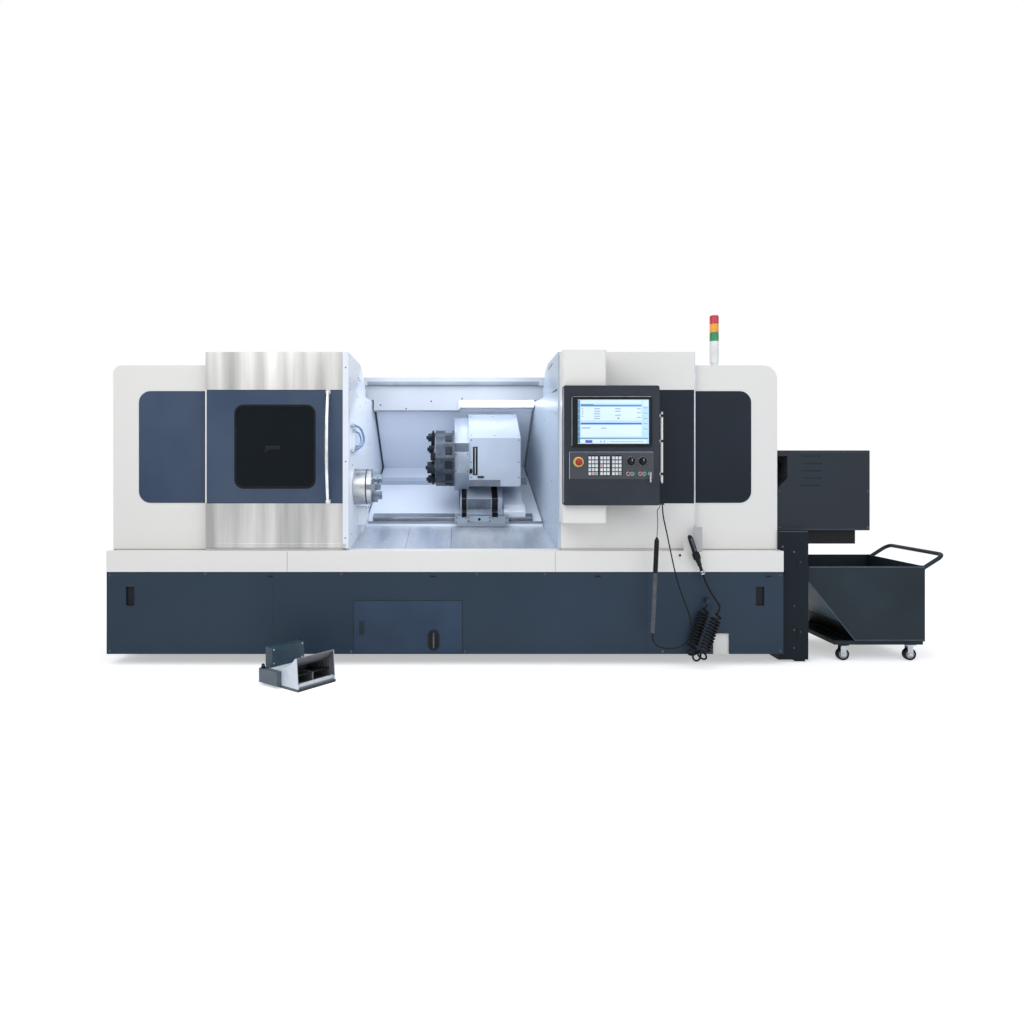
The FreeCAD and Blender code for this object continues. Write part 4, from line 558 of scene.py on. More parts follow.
    # The foot switch: pale outside, grey inside, a little rough as castings are.
    shell = recipe("#dde4ec", rough=0.4, mottle_mm=80.0, grain_mm=1.2, bump=0.2, deep="#ccd5df")
    inner = recipe("#6c6f73", rough=0.5, mottle_mm=80.0, grain_mm=1.5, bump=0.3, deep="#5d6064")
    finish("pale pedal enamel", shell)
    finish("grey pedal enamel", inner)
    finish("pedal in four enamels", inner, pedal_zones(shell))


def metal_finishes():
    """Castings, ground, turned and treated steel, and other metals."""
    # Sand casting under thick grey paint, rough at 2.5 mm; its ways are ground and bright, and higher up the
    # slope it wears the enamel painted a shade deeper.
    cast = recipe("#7b838c", rough=0.5, mottle_mm=120.0, grain_mm=2.5, bump=0.5, deep="#646c76")
    finish("painted cast iron", cast)
    # Ground along the travel, so the lines run across the view.
    ground = recipe("#c8cbcf", rough=0.22, metal=1.0, mottle_mm=160.0, grain_mm=(30.0, 0.5, 0.5),
                    bump=0.08, vary=0.06, deep="#aab0b8")
    finish("ground steel", ground)
    on_slope = -SLOPE_FOOT[0] * math.sin(SLANT) + SLOPE_FOOT[1] * math.cos(SLANT) - 3
    finish("cast iron with ground ways", cast,
           [(ground, [((0, -math.sin(SLANT), math.cos(SLANT)), on_slope)]),
            (SHADED, [((0, math.cos(SLANT), math.sin(SLANT)), 1116)])])
    # Turned in a lathe: bright, with tool lines drawn at 0.8 mm round the chuck and spindle.
    finish("turned steel", recipe("#c3c6ca", rough=0.28, metal=1.0, mottle_mm=120.0,
                                  grain_mm=(0.8, 8.0, 8.0), bump=0.1, vary=0.06, deep="#9da1a6"))
    # Chemically blackened: dark with a grey gleam.
    finish("blackened steel", recipe("#5c626b", rough=0.38, metal=1.0, mottle_mm=60.0, grain_mm=1.0,
                                     bump=0.2, vary=0.07, deep="#3f444c"))
    # Sheet on the floor mirrors the carriage and the walls, a little blurred.
    finish("polished stainless sheet", recipe("#dadfe6", rough=0.22, metal=0.45,
                                              mottle_mm=(140.0, 900.0, 900.0), grain_mm=(0.8, 60.0, 60.0),
                                              bump=0.06, vary=0.06, deep="#aab6c6"))
    # Bare steel under oil and swarf: blotches from mid grey to nearly black.
    finish("oiled turret steel", recipe("#414c59", rough=0.42, metal=0.5, mottle_mm=45.0, grain_mm=1.0,
                                        bump=0.2, vary=0.07, deep="#1d2731"))
    # Tool holders: blue-black oxide that shines only on its edges.
    finish("black oxide steel", recipe("#232c36", rough=0.4, metal=0.3, mottle_mm=30.0, grain_mm=1.0,
                                       bump=0.15, deep="#151c24"), **DULL)
    # Hardened jaws: grey with short grinding lines; the same steel paints a highlight on one turret clamp.
    finish("hardened jaw steel and clamp highlight", recipe("#8f9aa6", rough=0.36, metal=0.7, mottle_mm=25.0,
                                        grain_mm=(0.7, 6.0, 6.0), bump=0.15, vary=0.06, deep="#5f6c7a"))
    # Dull zinc with faint spangle.
    finish("galvanised steel", recipe("#b3b4b4", rough=0.42, mottle_mm=60.0, grain_mm=2.5, bump=0.1,
                                      deep="#a1a3a4"))
    # Cast covers in a flat mid grey.
    finish("grey casting enamel", recipe("#6b7380", rough=0.4, mottle_mm=90.0, grain_mm=1.2, bump=0.25,
                                         deep="#565e6b"), **DULL)
    # A soft silver line along the edges of the sheets; on the panel's left and top edges it is a painted
    # highlight.
    finish("silver edge line and painted highlight", recipe("#c3ccd6", rough=0.3, metal=0.6, mottle_mm=60.0, grain_mm=0.8,
                                             bump=0.1, deep="#a3adb8"))
    # Mirror bright, so that the door handle shows the white studio.
    finish("chromed steel", recipe("#e8e9ea", rough=0.1, metal=1.0, mottle_mm=60.0, grain_mm=2.0, bump=0.03,
                                   vary=0.03, deep="#c9cbce"))


def moulded_finishes():
    """Plastics and rubbers."""
    # Injection moulded black with a fine spark texture; the same black is painted shade in the saddle's
    # grooves and the base's slots.
    finish("black ABS and painted shade", recipe("#1a1c20", rough=0.42, mottle_mm=60.0, grain_mm=0.7, bump=0.25,
                                       deep="#121417"), **DULL)
    # Rubber: the deepest black, with a broad weak gleam; the lips in the corners have gone grey.
    finish("moulded black rubber", recipe("#131417", rough=0.55, mottle_mm=40.0, grain_mm=0.6, bump=0.3,
                                          deep="#0d0e10"), **DULL)
    finish("grey rubber", recipe("#4b5563", rough=0.5, mottle_mm=60.0, grain_mm=0.8, bump=0.2,
                                 deep="#3b4552"), **DULL)
    # Extruded tube: smooth, milky blue.
    finish("blue nylon tube", recipe("#7f9cc0", rough=0.3, mottle_mm=40.0, grain_mm=1.0, bump=0.1,
                                     deep="#6684ab"))
    # Small caps on the key plate: pale, rose and green, satin.
    finish("pale ABS key caps", recipe("#dfe3e6", rough=0.4, mottle_mm=30.0, grain_mm=0.6, bump=0.15,
                                       deep="#c4cacf"))
    finish("rose tinted ABS", recipe("#d9949a", rough=0.4, mottle_mm=20.0, deep="#c47d84"))
    finish("green tinted ABS", recipe("#6fae8c", rough=0.4, mottle_mm=20.0, deep="#5b9a78"))
    # Buttons: full colours with a clear shine.
    for name, colour, deep in (("moulded red ABS", "#b3241c", "#8f1a14"),
                               ("moulded green ABS", "#1f8a5b", "#186b46"),
                               ("moulded amber ABS", "#e2a21d", "#c78813")):
        finish(name, recipe(colour, rough=0.3, mottle_mm=30.0, grain_mm=0.8, bump=0.1, deep=deep))
    # Wheel rims: plain grey, scuffed.
    finish("grey nylon rim", recipe("#8f959b", rough=0.4, mottle_mm=20.0, deep="#767c83"))
    # A dark clear sleeve: glossy grey.
    finish("smoked polycarbonate", recipe("#5d6267", rough=0.25, mottle_mm=50.0, grain_mm=0.8, bump=0.1,
                                          deep="#4a4f54"), **DULL)
    # The door's window is almost black, with a little of the inside coming through.
    finish("tinted polycarbonate", recipe("#05131b", rough=0.14, mottle_mm=400.0, grain_mm=20.0, bump=0.01,
                                          vary=0.02, deep="#030d13"),
           **{"Transmission Weight": 0.08, "Specular IOR Level": 0.1})
    # The signal tower: white foot, then green, amber and red lenses, smooth and saturated.
    white = recipe("#e6e7e6", rough=0.3, mottle_mm=60.0, grain_mm=1.0, bump=0.05, deep="#d5d7d6")
    lenses = [(recipe(colour, rough=0.25, mottle_mm=30.0, grain_mm=1.0, bump=0.05, deep=deep), [(UP, height)])
              for colour, deep, height in (("#1f8f5f", "#187a50", 1934), ("#f0a63c", "#dc9430", 1987),
                                           ("#c8323c", "#b02832", 2040))]
    finish("coloured polycarbonate lenses", white, lenses)


def lit_finishes():
    """The lamp's diffuser and the display, which give light themselves."""
    # Acrylic over lamps: an even white glare.
    glow("lit opal acrylic", "#f4f8ff", 3.0)
    # The display's fields glow less, behind glass.
    for name, colour, strength in (("display white", "#c6d9ee", 0.33), ("display sky", "#9fc0da", 0.5),
                                   ("display steel", "#4f7c9a", 0.4), ("display indigo", "#4a4fa0", 0.4),
                                   ("display grey", "#7f96a6", 0.4)):
        glow(name, colour, strength)


# Each finish and the carried-over solids that wear it.
WORN = {
    "cast iron with ground ways": ("bed_casting",),
    "cream powder coat": ("base_band", "rear_cabinet", "panel_column", "grab_bar"),
    "navy powder coat": ("base_skirt",), "navy cover powder coat": ("access_cover",),
    "black ABS and painted shade": ("level_gauge", "spray_gun", "foot_pedal_1", "foot_pedal_2", "screen",
                          "inspection_lamp", "override_knob_1", "override_knob_2"),
    "blackened steel": ("levelling_feet", "gun_trigger"),
    "cream and blue powder coat": ("left_guard",), "cream and graphite powder coat": ("right_guard",),
    "white stove enamel": ("headstock_partition",), "painted cast iron": ("headstock",),
    "pale blue stove enamel": ("rear_guard",), "polished stainless sheet": ("floor_plates",),
    "light grey enamel": ("top_frame",), "lit opal acrylic": ("work_lamp",),
    "coloured polycarbonate lenses": ("signal_tower",), "dark riser powder coat": ("conveyor_body",),
    "dark conveyor powder coat": ("conveyor_head",), "cream powder coat and black pad": ("gun_holder",),
    "moulded black rubber": ("gun_hose", "lamp_cord", "cart_wheel_1", "cart_wheel_2", "cart_wheel_3",
                             "cart_wheel_4"),
    "pedal in four enamels": ("pedal_housing",), "stainless steel and blue powder coat": ("left_door",),
    "tinted polycarbonate": ("left_door_window",), "chromed steel": ("left_door_handle",),
    "cream and graphite door powder coat": ("right_door",), "charcoal textured enamel": ("control_box",),
    "printed key plate": ("key_plate",),
    "moulded red ABS": ("emergency_stop", "push_button_1", "push_button_3"),
    "moulded green ABS": ("push_button_2", "push_button_4"),
    "turned steel": ("key_switch", "spindle", "chuck", "swivel_fork_1", "swivel_fork_2"),
    "hardened jaw steel and clamp highlight": ("chuck_jaw_1", "chuck_jaw_2", "chuck_jaw_3"), "grey machine lacquer": ("saddle",),
    "silver lacquered cover": ("cross_slide",), "oiled turret steel": ("turret",),
    "black oxide steel": ("turret_tools",), "cart powder coat": ("cart_body",),
}


class LATHE_OT_finishes(bpy.types.Operator):
    """Make the paints, metals and plastics and put them on the solids"""
    bl_idname = "lathe.finishes"
    bl_label = "Finishes"

    def execute(self, context):
        sheet_finishes(context.scene.lathe_colours)
        metal_finishes()
        moulded_finishes()
        lit_finishes()
        for finish_name, node_names in WORN.items():
            for node_name in node_names:
                cover(node_name, finish_name)
        return {"FINISHED"}


# ---------------------------------------------------------------- cords

LAMP_ROUTE = [(1160, 949.8), (1162, 893), (1183, 803), (1202, 708), (1222, 612), (1244, 518),
              (1274, 428), (1307, 345), (1326, 272), (1324, 206), (1297, 154), (1250, 129),
              (1196, 124), (1150, 131), (1116, 149)]
LAMP_TOP, LAMP_FOOT = np.array([1129.0, -200, 763]), np.array([1104.0, -200, 211])
LAMP_DEPTH = -200
HOSE_DOWN = np.array([-0.33, 0, -0.944]) / np.linalg.norm([-0.33, 0, -0.944])
HOSE_SIDE = np.array([0.6, -0.774, -0.21]) / np.linalg.norm([0.6, -0.774, -0.21])
HOSE_TOP = np.array([1486.0, -190, 336])
HOSE_LIMB = 246
HOSE_BEND = 42
LIMB_PITCH = 19
BEND_PITCH = 36
HOSE_FADE = 44
CURL_RADIUS = 26.5
GUN_LENGTH = 259
GUN_TIP = np.array([1330.0, -130, 784])
GUN_LEAN = math.radians(19.4)
GUN_AXIS = np.array([math.sin(GUN_LEAN), 0, -math.cos(GUN_LEAN)])


def cord_curve(name, points, diameter, body):
    """A cord as a second-order spline with its points as control points."""
    data = bpy.data.curves.new(name, "CURVE")
    data.dimensions = "3D"
    data.bevel_depth = diameter / 2
    data.bevel_resolution = 4
    data.resolution_u = 6
    data.use_fill_caps = True
    line = data.splines.new("NURBS")
    line.points.add(len(points) - 1)
    line.points.foreach_set("co", np.c_[metres(points), np.ones(len(points))].ravel())
    line.order_u = 3
    line.use_endpoint_u = True
    return fitted(name, data, "moulded black rubber", body)


def hose_points():
    """Control points of the curly hose.

    The middle line runs down one limb, round a half circle and up the other. The hose circles
    it once every pitch at the curl radius, which grows from nothing at both ends.
    """
    bend = math.pi * HOSE_BEND
    total = 2 * HOSE_LIMB + bend
    runs = [0.0]
    while runs[-1] < total - BEND_PITCH / 3:
        run = runs[-1]
        in_bend = HOSE_LIMB - 15 < run < HOSE_LIMB + bend + 15
        near_end = run < HOSE_FADE or run > total - HOSE_FADE
        runs.append(run + (BEND_PITCH if in_bend or near_end else LIMB_PITCH) / 2)
    runs[-1] = total
    steps = np.linspace(0, len(runs) - 1, (len(runs) - 1) * 6 + 1)
    run = np.interp(steps, np.arange(len(runs)), runs)[:, None]
    turn = math.pi * steps[:, None]
    angle = np.clip((run - HOSE_LIMB) / HOSE_BEND, 0, math.pi)
    outward = HOSE_SIDE * np.cos(angle) + HOSE_DOWN * np.sin(angle)
    middle = HOSE_TOP - HOSE_SIDE * HOSE_BEND + outward * HOSE_BEND + HOSE_DOWN * (
        np.minimum(run, HOSE_LIMB) - np.maximum(run - HOSE_LIMB - bend, 0))
    near_end = np.clip(np.minimum(run, total - run) / HOSE_FADE, 0, 1)
    # A second-order spline cuts inside its control points, by 1 / cos of half a step.
    wide = CURL_RADIUS / math.cos(math.pi / 12) ** 0.5 * near_end ** 2 * (3 - 2 * near_end)
    across = np.cross(HOSE_DOWN, HOSE_SIDE)
    curls = middle + wide * (outward * np.cos(turn) + across * np.sin(turn))
    coupling = GUN_TIP + GUN_AXIS * GUN_LENGTH
    lead = np.array([coupling, coupling + GUN_AXIS * 23, coupling + GUN_AXIS * 46, (1452, -146, 447),
                     (1478, -176, 396), HOSE_TOP - HOSE_DOWN * 30])
    return np.concatenate([lead, curls, [curls[-1] - HOSE_DOWN * 14]])


def route_length(thing):
    """The length of a cord's own line, read from its curve with no bevel."""
    data = thing.data.copy()
    data.bevel_depth = 0
    bare = bpy.data.objects.new("route", data)
    line = bpy.data.meshes.new_from_object(bare)
    points = np.empty(len(line.vertices) * 3)
    line.vertices.foreach_get("co", points)
    bpy.data.objects.remove(bare)
    bpy.data.meshes.remove(line)
    return float(np.linalg.norm(np.diff(points.reshape(-1, 3), axis=0), axis=1).sum())


class LATHE_OT_cords(bpy.types.Operator):
    """Hang the hand lamp's cord and the coolant gun's curly hose"""
    bl_idname = "lathe.cords"
    bl_label = "Cords"

    def execute(self, context):
        sizes = context.scene.lathe_sizes
        axis = (LAMP_FOOT - LAMP_TOP) / np.linalg.norm(LAMP_FOOT - LAMP_TOP)
        points = [(x, LAMP_DEPTH, z) for x, z in LAMP_ROUTE] + [LAMP_FOOT + axis * 29, LAMP_FOOT]
        lamp = cord_curve("lamp_lead", np.array(points, float), sizes.lamp_cord, "right_door_body")
        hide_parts("lamp_cord")
        route_length(lamp)
        points = hose_points()
        hose = cord_curve("gun_coil_hose", points, sizes.gun_hose, "machine")
        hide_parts("gun_hose")
        route_length(hose)
        return {"FINISHED"}


# ---------------------------------------------------------------- base and guards

class LATHE_OT_guards(bpy.types.Operator):
    """Fit the base's screws, painted shade in its slots, gaps and seams, nameless plate, gauge glass and the
    painted shadow lines at the guards' feet
    """
    bl_idname = "lathe.guards"
    bl_label = "Base and guards"

    def execute(self, context):
        radius = context.scene.lathe_sizes.screw * 1000
        heads = [(x, z) for x in (-2062, 1886) for z in (528, 84)]
        heads += [(x, 80) for x in (-1088, -640, 30, 1194)]
        heads += [(x, 536) for x in (-1500, -700, 100, 500, 1350)]
        piece("skirt_screws", screws([(x, SKIRT_FACE, z) for x, z in heads], radius), "blackened steel")
        # Two lifting slots and four notches under the band, with black plates in them as painted shade.
        slots, behind = (-1941, 1766.5), -74.6
        liners = [slab((x, SKIRT_FACE, 523), (34, 9, 1.2), 4, 0.4) for x in (-1115, -159, 811, 1815)]
        liners += [slab((x, behind, 406), (64, 126, 1.4), 6, 0.4) for x in slots]
        piece("skirt_slot_shade", liners, "black ABS and painted shade")
        # The photo shows daylight through the notch, so its inner plate is pale.
        piece("notch_liner", slab((1538, behind, 128), (116, 124, 1.4), 4, 0.4), "cream powder coat")
        # Painted shadow lines in the gap round the access cover.
        gaps = [upright(x, SKIRT_FACE, 70, 384, 4, 0.5) for x in (-627, 16)]
        gaps.append(level(-629, 18, SKIRT_FACE, 382, 4, 0.5))
        piece("access_cover_gap_shadow", gaps, "painted seam shadow")
        rims = []
        for x in slots:
            rims += [upright(x + side, SKIRT_FACE, 349, 463, 3, 1.2) for side in (-26, 26)]
            rims += [level(x - 26, x + 26, SKIRT_FACE, z, 3, 1.2) for z in (463, 349)]
        piece("skirt_slot_rims", rims, "navy powder coat")
        piece("bare_plate", slab((-578, -89, 221), (31, 84, 1.2), 2, 0.5), "slate powder coat")
        # Painted shadow lines in the seams of the band and the skirt.
        seams = [upright(x, BAND_FACE, 553, 669, 1.6, 0.5) for x in (-1016, 560)]
        seams += [upright(x, SKIRT_FACE, 70, 548, 1.6, 0.5) for x in (-1100, 1100)]
        piece("base_seam_shadows", seams, "painted seam shadow")
        # The ledge under each guard shows as a fine line of painted shadow.
        ledge = [level(left, right, 0, 673.7, 3, 0.6) for left, right in ((-2076, -1516), (1402, 1899))]
        piece("guard_foot_shadow_lines", ledge, "painted seam shadow")
        piece("gauge_glass", tube([(-155, -94, 103), (-155, -94, 194)], 5.6), "smoked polycarbonate")
        return {"FINISHED"}


# ---------------------------------------------------------------- left door

def frame_ring(wide, high, radius, width, thick):
    """A rubber frame: the outline of a rounded opening carried round a half-round lip.

    Ring j of the lip lies width (1 - cos a) / 2 inside the outline and thick sin a proud of it.
    """
    turn = np.linspace(0, math.pi, 9)
    inset = width * (1 - np.cos(turn)) / 2
    flat = np.stack([outline(wide - 2 * step, high - 2 * step, radius - step, 9) for step in inset])
    lip = raised(flat, thick * np.sin(turn))
    back = np.concatenate([flat[::-1], np.full(flat.shape[:2] + (1,), -0.5)], axis=-1)[[0, -1]]
    return stack(np.concatenate([lip, back, lip[:1]]), capped=False)


class LATHE_OT_left_door(bpy.types.Operator):
    """Fit the window seal, the catch, the edge trims and the screws of the left door"""
    bl_idname = "lathe.left_door"
    bl_label = "Left door"

    def execute(self, context):
        door = "left_door_body"
        width = context.scene.lathe_sizes.gasket * 1000
        window = (455 + 2 * width, 472 + 2 * width, 40 + width)
        points, faces = frame_ring(*window, width, 2.5)
        piece("window_seal", (placed(points, (-1098.5, DOOR_FACE, 1288), "front"), faces),
              "moulded black rubber", door)
        catch = [slab((-1113, -41, 1281), (92, 24, 5), 8, 2),
                 slab((-1148, -41, 1266), (34, 12, 4), 4, 1.5, "front", 28)]
        piece("window_catch", catch, "black ABS and painted shade", door)
        piece("door_edge_trim", upright(-1508, DOOR_FACE, 951, 1625, 8, 1.2), "cream powder coat", door)
        # The foot of the stainless skin is folded back into a soft lip.
        piece("door_foot_lip", slab((-1076, DOOR_SKIN, 700), (800, 26, 2.2), 12, 2.0),
              "brushed stainless steel", door)
        lines = [level(left, -698, DOOR_FACE, z, 3, 0.5) for left, z in ((-1512, 952.5), (-1504, 1623.5))]
        piece("door_band_lines", lines, "black ABS and painted shade", door)
        # The gusset is the door's inner cheek, which faces right at x -663.
        heads = screws([(-679, DOOR_SKIN, 1758), (-681, DOOR_SKIN, 745), (-679, DOOR_SKIN, 1200)], 4.5, 1.6)
        side = screws([(-663, y, z) for y, z in ((20, 1700), (240, 1790), (755, 1745), (500, 1745))],
                      4.5, 1.6, "right")
        piece("gusset_screws", [heads, side], "blackened steel", door)
        slots = [strip((-663, near, high), (-663, far, low), 7, 0.6, "right")
                 for near, high, far, low in ((380, 1752, 425, 1744), (440, 1741, 470, 1735))]
        piece("gusset_slots", slots, "black ABS and painted shade", door)
        profile = [(15.5, -0.4), (15.5, 4), (14.6, 5), (11.2, 5), (11.2, -0.4)]
        piece("handle_collars", [ring(profile, (-782, DOOR_FACE, z), around=32) for z in (1610, 963)],
              "chromed steel", door)
        return {"FINISHED"}


# ---------------------------------------------------------------- work area

def left_wall(deep, high, off=0.0):
    """A place on the slanting left wall, off it by some millimetres."""
    return (-663 + 0.05502 * deep + off, deep, high)


def right_wall(deep, high, off=0.0):
    """A place on the slanting right wall, off it by some millimetres."""
    return (600 - 0.07974 * deep - off, deep, high)


class LATHE_OT_enclosure(bpy.types.Operator):
    """Fit the work area's seals, coolant pipes, brackets, seams and screws"""
    bl_idname = "lathe.enclosure"
    bl_label = "Work area"

    def execute(self, context):
        # Pipes of blue nylon come out of the outlet box and loop back into it.
        outer = [(-652, 20, 1412), (-640, 60, 1420), (-612, 130, 1400), (-602, 200, 1344),
                 (-612, 180, 1300), (-640, 90, 1270), (-652, 40, 1262)]
        inner = [(-650, 60, 1385), (-624, 110, 1376), (-614, 150, 1340), (-620, 130, 1302), (-648, 70, 1290)]
        piece("coolant_pipes", [tube(smooth_path(outer), 7), tube(smooth_path(inner), 6)], "blue nylon tube")
        ends = [turned([(11, -6), (11, 8), (9, 10), (2, 10)], place, "right", 20)
                for place in ((-650, 30, 1412), (-650, 44, 1264), (-644, 64, 1386), (-646, 74, 1290))]
        piece("pipe_unions", ends, "turned steel")
        # Rubber lips close the corners between the side walls and the rear sheet: (deep, high) of both
        # ends, off the wall, radius, points around.
        lips = (((896, 1568), (1247, 1166), 5, 8, 10), ((1247, 1166), (1120, 1100), 5, 7, 10),
                ((1120, 1100), (530, 799), 3, 3.5, 8))
        for side, wall, finish_name in (("left", left_wall, "grey rubber"),
                                        ("right", right_wall, "grey beam enamel")):
            piece(f"{side}_corner_lip",
                  [tube([wall(*start, off), wall(*end, off)], radius, around)
                   for start, end, off, radius, around in lips], finish_name)
        box = [slab((-650, 300, 860), (110, 116, 58), 4, 2, "right"),
               slab((-592, 300, 868), (60, 70, 5), 3, 1, "right")]
        piece("chuck_bracket", box, "white stove enamel")
        bolts = [(-592, y, z) for y in (256, 344) for z in (812, 908)]
        piece("bracket_bolts", screws(bolts, 6, 3, "right"), "blackened steel")
        heads = ((240, 1612), (330, 1560), (620, 1480), (700, 1330), (90, 1180), (540, 1600), (60, 760))
        piece("left_wall_screws", screws([left_wall(*spot, 1) for spot in heads], 5, 1.8, "right"),
              "blackened steel")
        heads = ((120, 1500), (480, 1480), (820, 1460), (240, 1080), (420, 900))
        piece("right_wall_screws", screws([right_wall(*spot, 1) for spot in heads], 5, 1.8, "left"),
              "blackened steel")
        heads = [(x, 790, z) for x, z in ((-560, 1606), (-203, 1632), (-380, 1580))] + [(14, 800, 1652)]
        piece("header_screws", screws(heads, 6, 2), "blackened steel")
        # A grey channel on the beam, with painted shadow lines under it and under the header.
        piece("beam_channel", level(-652, 556, 775, 1759, 22, 1.0), "grey beam enamel")
        piece("beam_shadow_lines", [level(-652, 556, 775, 1744.5, 4, 0.8), level(-604, -4, 790, 1567, 3, 0.5)],
              "painted seam shadow")
        piece("lamp_end_bracket", slab((-5, 790, 1606), (11, 62, 18), 3, 1.5), "turned steel")
        piece("way_foot_band", slab(way(-38, 19, 0.1), (1184, 34, 1.2), 1, 0.4, "slope"),
              "grey beam enamel")
        return {"FINISHED"}


# ---------------------------------------------------------------- spindle

def round_axis(x, centre, radius, turns):
    """Places round a lengthwise axis; a turn of 0 is straight up, and more goes to the rear."""
    return [(x, centre[1] + radius * math.sin(turn), centre[2] + radius * math.cos(turn))
            for turn in turns]


class LATHE_OT_spindle(bpy.types.Operator):
    """Turn the chuck's bands, face ring and screws"""
    bl_idname = "lathe.spindle"
    bl_label = "Spindle and chuck"

    def execute(self, context):
        chuck = "spindle_body"
        chuck_radius, face = 109.8, -548
        bands = [ring([(chuck_radius, x - 2), (110.7, x), (110.7, x + width), (chuck_radius, x + width + 2)],
                      SPINDLE, "right", 72) for x, width in ((-668, 10), (-582, 6))]
        piece("chuck_bands", bands, "blackened steel", chuck)
        profile = [(66, -0.4), (66, 2.4), (64, 3.4), (41, 3.4), (39, 1.6), (36, 0.6), (34.5, -0.4)]
        piece("chuck_face_ring", ring(profile, (face, *SPINDLE[1:]), "right", 64), "ground steel", chuck)
        # Six screws between the jaws, in two circles.
        turn = np.radians(np.array([60, 180, 300]))
        heads = round_axis(face, SPINDLE, 84, turn) + round_axis(face, SPINDLE, 52, turn + 0.5)
        piece("chuck_screws", screws(heads, 7.5, 2.5, "right"), "blackened steel", chuck)
        for index in (1, 2, 3):
            low, high = (np.asarray(corner) * 1000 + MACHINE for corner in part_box(f"chuck_jaw_{index}"))
            spot = (high[0], *((low + high) / 2)[1:])
            piece(f"jaw_screw_{index}", screws([spot], 7, 1.5, "right"), "blackened steel",
                  f"chuck_jaw_{index}_body")
        return {"FINISHED"}


# ---------------------------------------------------------------- carriage

def station(angle):
    """Across, up and out for a face of the turret drum whose outward way leans by angle."""
    angle = math.radians(angle)
    out = np.array([0, -math.sin(angle), math.cos(angle)])
    across = np.array([1.0, 0, 0])
    return np.stack([across, np.cross(out, across), out])


